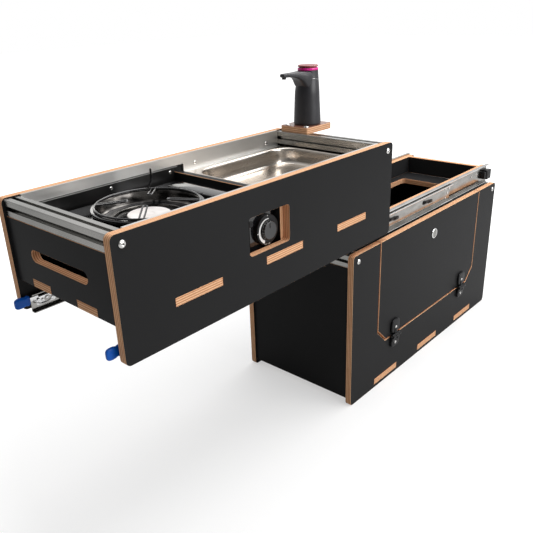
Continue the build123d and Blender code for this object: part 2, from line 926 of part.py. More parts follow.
with BuildPart() as lower_leaves:
    for centre in hinge_centres:
        leaf_x = (centre - hinge_width / 2, centre + hinge_width / 2)
        leaf_y = (front_y - hinge_leaf, front_y)
        leaf_top = hinge_axis_high - hinge_knuckle_radius - hinge_clearance
        block(leaf_x, leaf_y, (hinge_lower_bottom, leaf_top))
        for way in (-1, 1):
            wing_centre = centre + way * (hinge_width - wing) / 2
            wing_x = (wing_centre - wing / 2, wing_centre + wing / 2)
            block(wing_x, (axis_y, front_y - hinge_pin_fit), (leaf_top, hinge_axis_high))
            knuckle(wing_centre, wing)
    fillet(lower_leaves.edges().filter_by(Axis.Y).group_by(Axis.Z)[0], hinge_corner)
    for centre in hinge_centres:
        start = (centre - hinge_width / 2, axis_y, hinge_axis_high)
        rod(start, (1, 0, 0), hinge_pin_radius, hinge_width, Mode.SUBTRACT)
    screw_holes(leaf_seats(-1), (0, 1, 0))
save(lower_leaves, "hinge_lower_leaves")

with BuildPart() as upper_leaves:
    for centre in hinge_centres:
        leaf_bottom = hinge_axis_high + hinge_knuckle_radius + hinge_clearance
        arch_middle = hinge_upper_top - hinge_width / 2
        with BuildSketch(upright(front_y)):
            with Locations((centre, arch_middle)):
                Circle(hinge_width / 2)
            with Locations((centre, (leaf_bottom + arch_middle) / 2)):
                Rectangle(hinge_width, arch_middle - leaf_bottom)
        extrude(amount=hinge_leaf)
        tongue_x = (centre - hinge_middle / 2, centre + hinge_middle / 2)
        tongue_y = (axis_y, front_y - flap_gap)
        block(tongue_x, tongue_y, (hinge_axis_high, leaf_bottom))
        knuckle(centre, hinge_middle)
        start = (centre - hinge_middle / 2, axis_y, hinge_axis_high)
        rod(start, (1, 0, 0), hinge_pin_radius + hinge_pin_fit, hinge_middle, Mode.SUBTRACT)
    screw_holes(leaf_seats(1), (0, 1, 0))
save(upper_leaves, "hinge_upper_leaves")

with BuildPart() as hinge_pins:
    for centre in hinge_centres:
        start = (centre - hinge_width / 2, axis_y, hinge_axis_high)
        rod(start, (1, 0, 0), hinge_pin_radius, hinge_width)
save(hinge_pins, "hinge_pins")

group("flap_screws", [screw(seat, (0, 1, 0)) for seat in leaf_seats(1)])
cabinet_screws += [screw(seat, (0, 1, 0)) for seat in leaf_seats(-1)]

lock_x = cabinet_x + body_length / 2
lock_z = cabinet_height - lock_drop
lock_front = front_y - lock_ring_thickness
lock_rear = inside_near + lock_nut_thickness
with BuildPart() as lock_housing:
    rod((lock_x, lock_front, lock_z), (0, 1, 0), lock_ring_radius, lock_ring_thickness)
    rod((lock_x, front_y, lock_z), (0, 1, 0), lock_stem_radius, ply + lock_nut_thickness)
    rod((lock_x, inside_near, lock_z), (0, 1, 0), lock_nut_radius, lock_nut_thickness)
    bore = lock_barrel_radius + lock_barrel_fit
    rod((lock_x, lock_front, lock_z), (0, 1, 0), bore, lock_rear - lock_front, Mode.SUBTRACT)
    face_bore = lock_face_radius + lock_barrel_fit
    rod((lock_x, lock_front, lock_z), (0, 1, 0), face_bore, lock_face_depth, Mode.SUBTRACT)
save(lock_housing, "lock_housing")

cam_front = lock_rear + lock_tail / 2
with BuildPart() as lock_barrel:
    rod((lock_x, lock_front, lock_z), (0, 1, 0), lock_barrel_radius, cam_front - lock_front)
    rod((lock_x, lock_front, lock_z), (0, 1, 0), lock_face_radius, lock_face_depth - seat_gap)
    slot_x = (lock_x - lock_slot_width / 2, lock_x + lock_slot_width / 2)
    slot_z = (lock_z - lock_face_radius, lock_z + lock_face_radius)
    block(slot_x, (lock_front, lock_front + lock_slot_depth), slot_z, Mode.SUBTRACT)
save(lock_barrel, "lock_barrel")

with BuildPart() as lock_cam:
    with BuildSketch(upright(cam_front + cam_thickness)):
        with Locations((lock_x + cam_reach / 2, lock_z)):
            SlotOverall(cam_reach + cam_width, cam_width)
    extrude(amount=cam_thickness)
save(lock_cam, "lock_cam")

keeper_front = inside_near + keeper_setback
keeper_screw_y = keeper_front + keeper_depth - screw_head_radius - keeper_thickness
keeper_seats = []
for spread in (-keeper_width / 4, keeper_width / 4):
    keeper_seats.append((lock_x + spread, keeper_screw_y, cabinet_top_low - keeper_thickness))
with BuildPart() as lock_keeper:
    keeper_x = (lock_x - keeper_width / 2, lock_x + keeper_width / 2)
    plate_z = (cabinet_top_low - keeper_thickness, cabinet_top_low)
    block(keeper_x, (keeper_front, keeper_front + keeper_depth), plate_z)
    lip_z = (cabinet_top_low - keeper_drop, cabinet_top_low)
    block(keeper_x, (keeper_front, keeper_front + keeper_thickness), lip_z)
    screw_holes(keeper_seats, (0, 0, 1))
save(lock_keeper, "lock_keeper")

cabinet_screws += [screw(seat, (0, 0, 1)) for seat in keeper_seats]
group("cabinet_screws", cabinet_screws)


# Edge bands, sink ledges and heat shield

band_x = (from_end(unit_x, "left", rails_end), from_end(unit_x, "right", rails_end))
with BuildPart() as edge_bands:
    for side in sides:
        block(band_x, (depth(side, ply), depth(side, ply + band_thickness)), (band_low, unit_high))
save(edge_bands, "edge_bands")


def ledge_seats(side):
    """Screw seats on the upright leg of a sink ledge."""
    y = depth(side, ply + band_thickness)
    return [(unit_x + place, y, ledge_low + band_screw_raise) for place in ledge_screw_places]


ledge_x = (unit_x + ledge_start, band_x[1])
with BuildPart() as sink_ledges:
    for side in sides:
        leg_y = (depth(side, ply), depth(side, ply + band_thickness))
        foot_y = (depth(side, ply), depth(side, ply + ledge_foot_depth))
        block(ledge_x, leg_y, (ledge_low, band_low))
        block(ledge_x, foot_y, (ledge_low, ledge_low + ledge_foot_thickness))
        screw_holes(ledge_seats(side), outward(side))
save(sink_ledges, "sink_ledges")

shield_seats = []
for place in shield_screw_places:
    shield_seats.append((unit_x + place, inside_far - shield_thickness, shield_high - shield_lip))
with BuildPart() as heat_shield:
    shield_x = (band_x[0], unit_x + partition_start)
    shield_y = (inside_far, inside_far - shield_thickness)
    block(shield_x, shield_y, (raised(shield_low), shield_high))
    lip_y = (inside_far, inside_far - shield_lip)
    block(shield_x, lip_y, (shield_high - shield_thickness, shield_high))
    screw_holes(shield_seats, (0, 1, 0))
save(heat_shield, "heat_shield")

unit_screws += [screw(seat, (0, 1, 0)) for seat in shield_seats]
for side in sides:
    unit_screws += [screw(seat, outward(side)) for seat in ledge_seats(side)]
group("unit_screws", unit_screws)


# Sink pan

pan_middle_x = unit_x + pan_start + pan_flange_length / 2
pan_low = ledge_low + ledge_foot_thickness


def basin(growth, bottom, corner):
    """Bowl block with sloping sides and a rounded bottom, grown outward from the opening by growth."""
    with BuildPart() as bowl:
        with BuildSketch(Plane.XY.offset(pan_low)):
            with Locations((pan_middle_x, middle_y)):
                RectangleRounded(
                    pan_bowl_length + 2 * growth, pan_bowl_width + 2 * growth, pan_bowl_corner + growth
                )
        extrude(amount=-bottom, taper=pan_draft)
        fillet(bowl.faces().sort_by(Axis.Z)[0].edges(), corner)
    return bowl.part


with BuildPart() as sink_pan:
    add(basin(pan_sheet, pan_depth + pan_sheet, pan_bottom_radius + pan_sheet))
    with BuildSketch(Plane.XY.offset(pan_low)):
        with Locations((pan_middle_x, middle_y)):
            RectangleRounded(pan_flange_length, pan_flange_width, pan_flange_corner)
            RectangleRounded(pan_bowl_length, pan_bowl_width, pan_bowl_corner, mode=Mode.SUBTRACT)
    extrude(amount=pan_sheet)
    add(basin(0, pan_depth, pan_bottom_radius), mode=Mode.SUBTRACT)
save(sink_pan, "sink_pan")


# Stove

stove_body_low = bay_floor + stove_foot_height
stove_length = stove_end - stove_start
stove_width = stove_far - stove_near
stove_middle = (unit_x + (stove_start + stove_end) / 2, front_y + (stove_near + stove_far) / 2)
burner = (unit_x + burner_x, front_y + burner_y)
lid_bay_x = (unit_x + lid_start + lid_bay_margin, unit_x + lid_end - lid_bay_margin)
lid_bay_y = (front_y + lid_near + lid_bay_margin, front_y + lid_far - lid_bay_margin)
lid_low = raised(stove_high) + lid_gap
lid_axis_x = unit_x + lid_start - lid_knuckle_radius - lid_gap
lid_axis_z = raised(stove_high) + lid_knuckle_raise
lug_places = (lid_near + lid_knuckle_length, lid_far - 2 * lid_knuckle_length)

with BuildPart() as stove_body:
    with BuildSketch(Plane.XY.offset(stove_body_low)):
        with Locations(stove_middle):
            RectangleRounded(stove_length, stove_width, stove_corner)
    extrude(amount=raised(stove_high) - stove_body_low)
    fillet(stove_body.faces().sort_by(Axis.Z)[-1].edges(), stove_top_edge)
    with BuildSketch(Plane.XY.offset(stove_body_low + stove_wall)):
        inner_length = stove_length - 2 * stove_wall
        inner_width = stove_width - 2 * stove_wall
        with Locations(stove_middle):
            RectangleRounded(inner_length, inner_width, stove_corner - stove_wall)
    extrude(amount=raised(stove_high) - stove_body_low - 2 * stove_wall, mode=Mode.SUBTRACT)
    bowl_hole = bowl_rim_radius - bowl_rim_width + stove_hole_gap
    bowl_hole_start = (burner[0], burner[1], raised(stove_high) - overrun)
    rod(bowl_hole_start, (0, 0, 1), bowl_hole, 2 * overrun, Mode.SUBTRACT)
    lid_bay_z = (raised(stove_high) - stove_wall - overrun, raised(stove_high) + overrun)
    block(lid_bay_x, lid_bay_y, lid_bay_z, Mode.SUBTRACT)
    for way_x in (-1, 1):
        for way_y in (-1, 1):
            foot_x = stove_middle[0] + way_x * (stove_length / 2 - stove_foot_inset)
            foot_y = stove_middle[1] + way_y * (stove_width / 2 - stove_foot_inset)
            rod((foot_x, foot_y, bay_floor), (0, 0, 1), stove_foot_radius, stove_foot_height + stove_wall)
    seat_y = front_y + knob_ring_depth + knob_ring_thickness
    seat_length = stove_near + stove_wall - knob_ring_depth - knob_ring_thickness
    rod((unit_x + knob_x, seat_y, knob_z), (0, 1, 0), knob_seat_radius - knob_ring_width, seat_length)
    shaft_hole = knob_shaft_radius + knob_shaft_fit
    rod((unit_x + knob_x, front_y, knob_z), (0, 1, 0), shaft_hole, stove_near + ply, Mode.SUBTRACT)
    gas_slot_z = (raised(gas_slot_low), raised(gas_slot_high))
    gas_slot_middle = unit_x + gas_slot_x
    gas_slot_span = (gas_slot_middle - gas_slot_width / 2, gas_slot_middle + gas_slot_width / 2)
    block(gas_slot_span, (front_y, front_y + stove_near + ply), gas_slot_z, Mode.SUBTRACT)
    for place in lug_places:
        lug_start = (lid_axis_x, front_y + place, lid_axis_z)
        rod(lug_start, (0, 1, 0), lid_knuckle_radius, lid_knuckle_length)
        lug_x = (lid_axis_x - lid_knuckle_radius, lid_axis_x + lid_knuckle_radius)
        lug_y = (front_y + place, front_y + place + lid_knuckle_length)
        block(lug_x, lug_y, (raised(stove_high) - stove_wall, lid_axis_z))
        rod(lug_start, (0, 1, 0), lid_pin_radius + lid_pin_fit, lid_knuckle_length, Mode.SUBTRACT)
save(stove_body, "stove_body")

with BuildPart() as knob_ring:
    ring_seat = (unit_x + knob_x, front_y + knob_ring_depth, knob_z)
    rod(ring_seat, (0, 1, 0), knob_seat_radius, knob_ring_thickness)
    inner = knob_seat_radius - knob_ring_width
    rod(ring_seat, (0, 1, 0), inner, knob_ring_thickness, Mode.SUBTRACT)
    skirt_length = stove_near - knob_ring_depth - knob_ring_thickness
    skirt_seat = (unit_x + knob_x, front_y + knob_ring_depth + knob_ring_thickness, knob_z)
    rod(skirt_seat, (0, 1, 0), knob_seat_radius, skirt_length)
    rod(skirt_seat, (0, 1, 0), inner + seat_gap, skirt_length, Mode.SUBTRACT)
save(knob_ring, "knob_ring")

with BuildPart() as drip_bowl:
    rim_inner = bowl_rim_radius - bowl_rim_width
    with BuildSketch(Plane(origin=(burner[0], burner[1], 0), x_dir=(1, 0, 0), z_dir=(0, -1, 0))):
        with BuildLine():
            Polyline(
                (bowl_mouth_radius, raised(bowl_floor_high)),
                (bowl_floor_radius, raised(bowl_floor_high)),
                (rim_inner - bowl_sheet, raised(stove_high)),
                (rim_inner - bowl_sheet, raised(bowl_rim_high)),
                (bowl_rim_radius, raised(bowl_rim_high)),
                (bowl_rim_radius, raised(stove_high)),
                (bowl_rim_radius - bowl_sheet, raised(stove_high)),
                (bowl_rim_radius - bowl_sheet, raised(bowl_rim_high) - bowl_sheet),
                (rim_inner, raised(bowl_rim_high) - bowl_sheet),
                (rim_inner, raised(stove_high)),
                (bowl_floor_radius, raised(bowl_floor_high) - bowl_sheet),
                (bowl_mouth_radius, raised(bowl_floor_high) - bowl_sheet),
                close=True,
            )
        make_face()
    revolve(axis=Axis((burner[0], burner[1], 0), (0, 0, 1)))
    with BuildSketch(Plane.XY.offset(raised(bowl_floor_high))):
        with Locations(burner):
            Circle(bowl_bead_outer)
            Circle(bowl_bead_inner, mode=Mode.SUBTRACT)
    extrude(amount=bowl_bead_height)
save(drip_bowl, "drip_bowl")

disc_low = raised(burner_disc_high) - burner_disc_thickness
burner_seat = stove_body_low + stove_wall
pipe_z = burner_seat + burner_foot_radius
with BuildPart() as burner_head:
    rod((burner[0], burner[1], burner_seat), (0, 0, 1), burner_foot_radius, disc_low - burner_seat)
    collar_low = raised(bowl_floor_high) - bowl_sheet - burner_lip_thickness
    rod((burner[0], burner[1], collar_low), (0, 0, 1), burner_lip_radius, burner_lip_thickness)
    rod((burner[0], burner[1], collar_low), (0, 0, 1), burner_neck_radius, disc_low - collar_low)
    rod((burner[0], burner[1], pipe_z), (1, 0, 0), burner_pipe_radius, burner_pipe_length)
    rod((burner[0], burner[1], disc_low), (0, 0, 1), burner_disc_radius, burner_disc_thickness)
    fillet(burner_head.faces().sort_by(Axis.Z)[-1].edges(), burner_disc_thickness / 2)
save(burner_head, "burner_head")

with BuildPart() as pan_support:
    ring_z = raised(bowl_rim_high) + support_clearance + support_ring_half
    centre = Vector(burner[0], burner[1], ring_z)
    with BuildSketch(Plane.XY.offset(ring_z - support_ring_half)):
        with Locations(burner):
            Circle(support_ring_radius + support_ring_half)
            Circle(support_ring_radius - support_ring_half, mode=Mode.SUBTRACT)
    extrude(amount=2 * support_ring_half)
    fillet(pan_support.edges(), support_ring_half / 2)
    for turn in (45, 135, 225, 315):
        outside = Vector(1, 0, 0).rotate(Axis.Z, turn)
        half_width = Vector(0, support_arm_width / 2, 0).rotate(Axis.Z, turn)
        seat = centre + outside * support_ring_radius
        tip = centre + outside * support_inner_radius + Vector(0, 0, support_arm_rise)
        corners = (seat - half_width, tip - half_width, tip + half_width, seat + half_width)
        wire(corners, arm_wire_radius)
    outside = Vector(1, 0, 0).rotate(Axis.Z, support_upright_turn)
    lean = Vector(0, -support_lean, 0).rotate(Axis.Z, support_upright_turn)
    foot = centre + outside * support_ring_radius
    bend = foot + lean + Vector(0, 0, raised(support_lean_high) - ring_z)
    top = foot + lean + Vector(0, 0, raised(support_high) - ring_z)
    wire((foot, bend, top), arm_wire_radius)
save(pan_support, "pan_support")


# Cartridge lid

with BuildPart() as cartridge_lid:
    lid_span = (unit_x + lid_start, unit_x + lid_end)
    lid_top = lid_low + lid_side_height
    with BuildSketch(upright(front_y + lid_far)):
        with BuildLine():
            Line((lid_span[0], lid_low), (lid_span[1], lid_low))
            Line((lid_span[1], lid_low), (lid_span[1], lid_top))
            ThreePointArc(
                (lid_span[1], lid_top),
                ((lid_span[0] + lid_span[1]) / 2, lid_low + lid_crown),
                (lid_span[0], lid_top),
            )
            Line((lid_span[0], lid_top), (lid_span[0], lid_low))
        make_face()
    extrude(amount=lid_far - lid_near)
    hollow_x = (lid_span[0] + lid_sheet, lid_span[1] - lid_sheet)
    hollow_y = (front_y + lid_near + lid_sheet, front_y + lid_far - lid_sheet)
    block(hollow_x, hollow_y, (lid_low, lid_top - lid_sheet), Mode.SUBTRACT)
    for place in lug_places:
        start = (lid_axis_x, front_y + place + lid_knuckle_length + lid_gap, lid_axis_z)
        ear_length = lid_knuckle_length / 2
        rod(start, (0, 1, 0), lid_knuckle_radius, ear_length)
        ear_y = (start[1], start[1] + ear_length)
        block((lid_axis_x, lid_span[0]), ear_y, (lid_axis_z - lid_sheet / 2, lid_axis_z + lid_sheet / 2))
        pin_start = (lid_axis_x, front_y + place, lid_axis_z)
        rod(pin_start, (0, 1, 0), lid_pin_radius, lid_knuckle_length + lid_gap)
save(cartridge_lid, "cartridge_lid")


# Stove knob and gas lever

with BuildPart() as stove_knob:
    skirt_seat = (unit_x + knob_x, front_y + knob_skirt_depth, knob_z)
    with BuildSketch(upright(front_y + knob_skirt_depth)):
        with Locations((unit_x + knob_x, knob_z)):
            Circle(knob_skirt_radius)
    with BuildSketch(upright(front_y + knob_face_depth)):
        with Locations((unit_x + knob_x, knob_z)):
            Circle(knob_face_radius)
    loft()
    seat_start = front_y + knob_ring_depth + knob_ring_thickness
    skirt_end = knob_ring_depth + knob_ring_thickness - knob_gap
    rod(skirt_seat, (0, 1, 0), knob_skirt_radius, skirt_end - knob_skirt_depth)
    rod(skirt_seat, (0, 1, 0), knob_shaft_radius, stove_near + knob_shaft_length - knob_skirt_depth)
    pointer_x = (unit_x + knob_x - knob_pointer_width / 2, unit_x + knob_x + knob_pointer_width / 2)
    pointer_y = (front_y + knob_face_depth - knob_pointer_height, front_y + knob_face_depth)
    block(pointer_x, pointer_y, (knob_z + knob_pointer_start, knob_z + knob_face_radius - knob_pointer_width))
save(stove_knob, "stove_knob")

with BuildPart() as gas_lever:
    lever_centre = (unit_x + gas_slot_x, front_y + gas_lever_depth, raised(gas_lever_high))
    rod(lever_centre, (0, 1, 0), gas_lever_radius, gas_lever_length)
    plate_seat = front_y + stove_near + stove_wall + lid_gap
    stem_start = (unit_x + gas_slot_x, front_y + gas_lever_depth + gas_lever_length, raised(gas_lever_high))
    rod(stem_start, (0, 1, 0), gas_lever_stem, plate_seat + gas_lever_tail - stem_start[1])
    tail_x = (unit_x + gas_slot_x - gas_lever_plate / 2, unit_x + gas_slot_x + gas_lever_plate / 2)
    tail_z = (raised(gas_lever_high) - gas_lever_plate / 2, raised(gas_lever_high) + gas_lever_plate / 2)
    block(tail_x, (plate_seat, plate_seat + gas_plate_thickness), tail_z)
save(gas_lever, "gas_lever")


# Tap and its plate

unit_bolts = corner_bolts(unit_x, unit_rail_low)
unit_top_rail = unit_rail_low + rail_size
plate_top = unit_top_rail + ply
plate_bolt_places = (plate_near + plate_bolt_near, plate_far - plate_bolt_far)
slot_centre_x = from_end(unit_x, "right", rail_inset + rail_size / 2)
with BuildPart() as tap_plate:
    plate_x = (unit_x + plate_start, unit_x + plate_end)
    plate_y = (front_y + plate_near, front_y + plate_far)
    block(plate_x, plate_y, (unit_top_rail, plate_top))
    fillet(tap_plate.edges().filter_by(Axis.Z), plate_corner)
    for place in plate_bolt_places:
        hole = (slot_centre_x, front_y + place, unit_top_rail - overrun)
        rod(hole, (0, 0, 1), bolt_radius + seat_gap, ply + 2 * overrun, Mode.SUBTRACT)
save(tap_plate, "tap_plate")

for place in plate_bolt_places:
    seat = (slot_centre_x, front_y + place, plate_top)
    unit_bolts.append(bolt(seat, (0, 0, -1), ply + rail_lip + slot_nut_height))
    unit_bolts.append(slot_nut(seat[0], seat[1], unit_top_rail - rail_lip))
group("unit_bolts", unit_bolts)

tap_centre = (unit_x + tap_x, front_y + tap_y)
head_x = tap_centre[0] + tap_head_shift
tap_tip = tap_centre[0] - tap_spout_reach
ring_outer = tap_head_radius - seat_gap
ring_inner = ring_outer - tap_ring_thickness
waist_z = plate_top + tap_waist_high
neck_z = plate_top + tap_neck_high
head_z = plate_top + tap_head_high
ring_top = head_z + tap_ring_height
button_top = ring_top + tap_button_height
spout_under_z = plate_top + tap_spout_under
tip_low_z = plate_top + tap_spout_tip_low
tip_high_z = plate_top + tap_spout_tip_high
well_floor = head_z - tap_button_skirt - tap_button_travel + tap_button_stop - tap_button_gap
with BuildPart() as spout:
    with BuildSketch(upright(tap_centre[1] + tap_spout_width)):
        with BuildLine():
            spout_back = (head_x, spout_under_z)
            under = (tap_centre[0] - tap_waist_radius + tap_spout_corner, spout_under_z)
            tip_low = (tap_tip, tip_low_z)
            tip_high = (tap_tip, tip_high_z)
            saddle = (tap_centre[0] - tap_spout_reach / 2, tip_high_z - tap_spout_corner)
            crown = (head_x - tap_head_radius / 2, head_z)
            Line(spout_back, under)
            ThreePointArc(
                under,
                ((under[0] + tap_tip) / 2, tip_low_z - tap_spout_corner),
                tip_low,
            )
            Line(tip_low, tip_high)
            ThreePointArc(tip_high, saddle, crown)
            Line(crown, (head_x, head_z))
            Line((head_x, head_z), spout_back)
        make_face()
    extrude(amount=2 * tap_spout_width)
    with BuildSketch(Plane.XY.offset(spout_under_z)):
        with BuildLine():
            half_tip = tap_spout_tip_width / 2
            half_root = tap_head_radius - tap_spout_corner
            Polyline(
                (head_x, tap_centre[1] - half_root),
                (head_x, tap_centre[1] + half_root),
                (tap_tip, tap_centre[1] + half_tip),
                (tap_tip, tap_centre[1] - half_tip),
                close=True,
            )
        make_face()
    extrude(amount=head_z - spout_under_z, mode=Mode.INTERSECT)
    fillet(spout.edges().filter_by(Axis.Z).group_by(Axis.X)[0], tap_spout_tip_width / 3)

with BuildPart() as tap_body:
    with BuildSketch(Plane.XY.offset(plate_top)):
        with Locations(tap_centre):
            Circle(tap_base_radius)
    with BuildSketch(Plane.XY.offset(waist_z)):
        with Locations(tap_centre):
            Circle(tap_waist_radius)
    loft()
    chamfer(tap_body.faces().sort_by(Axis.Z)[0].edges(), tap_base_edge)
    with BuildSketch(Plane.XY.offset(waist_z)):
        with Locations(tap_centre):
            Circle(tap_waist_radius)
    with BuildSketch(Plane.XY.offset(neck_z)):
        with Locations((head_x, tap_centre[1])):
            Circle(tap_head_radius)
    loft()
    rod((head_x, tap_centre[1], neck_z), (0, 0, 1), tap_head_radius, head_z - neck_z)
    add(spout.part)
    nozzle_x = tap_tip + tap_nozzle_inset
    nozzle_low = tip_low_z - tap_nozzle_length
    nozzle_seat = (nozzle_x, tap_centre[1], nozzle_low)
    rod(nozzle_seat, (0, 0, 1), tap_nozzle_radius, 2 * tap_nozzle_length)
    rod(nozzle_seat, (0, 0, 1), tap_nozzle_bore, 2 * tap_nozzle_length, Mode.SUBTRACT)
    rod((head_x, tap_centre[1], well_floor), (0, 0, 1), ring_inner, head_z, Mode.SUBTRACT)
save(tap_body, "tap_body")

with BuildPart() as tap_ring:
    rod((head_x, tap_centre[1], head_z), (0, 0, 1), ring_outer, ring_top - head_z)
    rod((head_x, tap_centre[1], head_z), (0, 0, 1), ring_inner, ring_top, Mode.SUBTRACT)
save(tap_ring, "tap_ring")

with BuildPart() as tap_button:
    button_low = head_z - tap_button_skirt + tap_button_stop
    cap_low = ring_top + tap_button_travel + tap_button_gap
    stem_radius = ring_inner - tap_button_gap
    rod((head_x, tap_centre[1], button_low), (0, 0, 1), stem_radius, cap_low - button_low)
    rod((head_x, tap_centre[1], cap_low), (0, 0, 1), ring_outer, button_top - cap_low)
    fillet(tap_button.faces().sort_by(Axis.Z)[-1].edges(), tap_button_edge)
save(tap_button, "tap_button")
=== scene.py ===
import bmesh
import bpy
import numpy as np
from mathutils import Matrix


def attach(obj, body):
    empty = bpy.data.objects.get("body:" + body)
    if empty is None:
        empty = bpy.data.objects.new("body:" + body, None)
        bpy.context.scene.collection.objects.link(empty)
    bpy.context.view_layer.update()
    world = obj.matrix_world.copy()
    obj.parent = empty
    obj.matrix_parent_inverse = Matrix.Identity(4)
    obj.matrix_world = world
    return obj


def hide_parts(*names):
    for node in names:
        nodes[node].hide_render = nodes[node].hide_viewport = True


# Campervan kitchen pod: black film-faced plywood cabinet with a cooking unit drawn out on slides.
# Metres. X runs along the length, Y from front to back, Z up from the floor.

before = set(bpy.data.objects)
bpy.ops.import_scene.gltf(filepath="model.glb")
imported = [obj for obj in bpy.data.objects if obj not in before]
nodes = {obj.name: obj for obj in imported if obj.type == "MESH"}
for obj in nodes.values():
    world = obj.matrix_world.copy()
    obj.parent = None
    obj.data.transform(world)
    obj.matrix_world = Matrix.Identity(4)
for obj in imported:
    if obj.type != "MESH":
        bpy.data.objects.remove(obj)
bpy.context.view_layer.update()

# Node trees


class Tree:
    """Short way to write a node tree. Wherever a value goes, a node or one of its outputs may go too."""

    def __init__(self, owner, output):
        """Clears a material's or a world's tree and adds its output."""
        owner.use_nodes = True
        self.tree = owner.node_tree
        self.tree.nodes.clear()
        self.out = self.node(output)

    def node(self, kind, inputs=None, **settings):
        """New node with its attributes and input values."""
        made = self.tree.nodes.new(kind)
        for key, value in settings.items():
            setattr(made, key, value)
        for key, value in (inputs or {}).items():
            self.feed(made.inputs[key], value)
        return made

    def feed(self, socket, value):
        """Links an output to a socket, or sets its value."""
        if isinstance(value, bpy.types.Node):
            value = value.outputs[0]
        if isinstance(value, bpy.types.NodeSocket):
            self.tree.links.new(value, socket)
        else:
            socket.default_value = (*value, 1) if socket.type == "RGBA" else value

    def maths(self, operation, a, b=0.0):
        """Maths node on two values."""
        return self.node("ShaderNodeMath", {0: a, 1: b}, operation=operation).outputs[0]


class Shader(Tree):
    """Tree of one material with its surface shader."""

    def __init__(self, owner):
        """Adds the surface shader to a cleared tree."""
        super().__init__(owner, "ShaderNodeOutputMaterial")
        self.surface = self.node("ShaderNodeBsdfPrincipled")
        self.feed(self.out.inputs["Surface"], self.surface)

    def mix(self, share, a, b):
        """Mix of two colours."""
        return self.node("ShaderNodeMix", {0: share, 6: a, 7: b}, data_type="RGBA").outputs[2]

    def noise(self, scale, detail=3.0, stretch=(1, 1, 1)):
        """Noise over the object's own coordinates, stretched along its axes."""
        place = self.node("ShaderNodeTexCoord").outputs["Object"]
        mapped = self.node("ShaderNodeMapping", {"Vector": place, "Scale": stretch})
        return self.node("ShaderNodeTexNoise", {"Vector": mapped, "Scale": scale, "Detail": detail}).outputs["Fac"]

    def ramp(self, value, *stops):
        """Colour ramp with (place, colour) stops."""
        made = self.node("ShaderNodeValToRGB", {"Fac": value})
        ramp = made.color_ramp
        while len(ramp.elements) < len(stops):
            ramp.elements.new(0.5)
        for element, (place, colour) in zip(ramp.elements, stops):
            element.position, element.color = place, (*colour, 1)
        return made.outputs[0]

    def tint(self, value, low, high):
        """Colour that goes from one to another over the middle of a value's range."""
        return self.ramp(value, (0.3, low), (0.7, high))

    def spread(self, value, low, high):
        """Value from 0..1 spread between two limits."""
        return self.node("ShaderNodeMapRange", {"Value": value, "To Min": low, "To Max": high}).outputs[0]

    def bump(self, height, distance, strength=1.0, under=None):
        """Bump of a height over a distance in metres, on top of another bump if there is one."""
        inputs = {"Height": height, "Distance": distance, "Strength": strength}
        if under is not None:
            inputs["Normal"] = under
        return self.node("ShaderNodeBump", inputs).outputs["Normal"]

    def finish(self, **inputs):
        """Sets the surface shader's inputs."""
        for key, value in inputs.items():
            self.feed(self.surface.inputs[key.replace("_", " ").title().replace("Ior", "IOR")], value)


# Camera, floor and light

CAMERA_PLACE = (-1.1273, -0.86955, 0.9121)
CAMERA_TURN, CAMERA_RISE, CAMERA_ROLL = -47.53, 22.92, -2.12
CAMERA_LENS, CAMERA_SENSOR = 42.08, 36.0
CAMERA_REACH = (0.05, 60)
SKY_LEVEL, SKY_LEAST = 0.42, 0.03
SKY_SLOPE = (0.46, 0.12, 0.3)
SKY_IN_MIRRORS = 0.08
FLOOR_HALF, FLOOR_COLOUR = 14.0, 0.5
FLOOR_NEAR, FLOOR_FAR = 0.75, 2.0
FLOOR_GLOW, FLOOR_GLOW_FAR = 0.5, 1.0
FLOOR_IN_MIRRORS = 0.1


def stood(name, data, place=(0, 0, 0), axes=np.eye(3)):
    """Object linked to the scene at a place, turned to three axes."""
    made = bpy.data.objects.new(name, data)
    made.matrix_world = Matrix([*np.column_stack([*axes, place]).tolist(), [0, 0, 0, 1]])
    bpy.context.collection.objects.link(made)
    return made


def add_camera():
    """Camera fitted to the photograph: turned about Z, raised, then rolled about its own axis."""
    turn, rise, roll = np.radians([CAMERA_TURN, CAMERA_RISE, CAMERA_ROLL])
    back = np.array([np.sin(turn) * np.cos(rise), -np.cos(turn) * np.cos(rise), np.sin(rise)])
    right = np.array([np.cos(turn), np.sin(turn), 0])
    up = np.cross(back, right)
    lens = bpy.data.cameras.new("camera")
    lens.sensor_width, lens.lens = CAMERA_SENSOR, CAMERA_LENS
    lens.clip_start, lens.clip_end = CAMERA_REACH
    across = np.cos(roll) * right + np.sin(roll) * up
    bpy.context.scene.camera = stood("camera", lens, CAMERA_PLACE, (across, np.cross(back, across), back))


def add_lamp(name, place, aim, size, power):
    """Rectangular softbox at a place, facing a point."""
    lamp = bpy.data.lights.new(name, "AREA")
    lamp.shape, lamp.size, lamp.size_y, lamp.energy = "RECTANGLE", *size, power
    back = np.subtract(place, aim)
    back /= np.linalg.norm(back)
    side = np.cross([0, 0, 1], back)
    side /= np.linalg.norm(side)
    stood(name, lamp, place, (side, np.cross(back, side), back))


def seen_directly(tree, reflected):
    """1 for camera rays, a share for reflected and transmitted ones, 0 for the rest."""
    path = tree.node("ShaderNodeLightPath")
    mirror = tree.maths("MAXIMUM", path.outputs["Is Glossy Ray"], path.outputs["Is Transmission Ray"])
    return tree.maths("MAXIMUM", path.outputs["Is Camera Ray"], tree.maths("MULTIPLY", mirror, reflected))


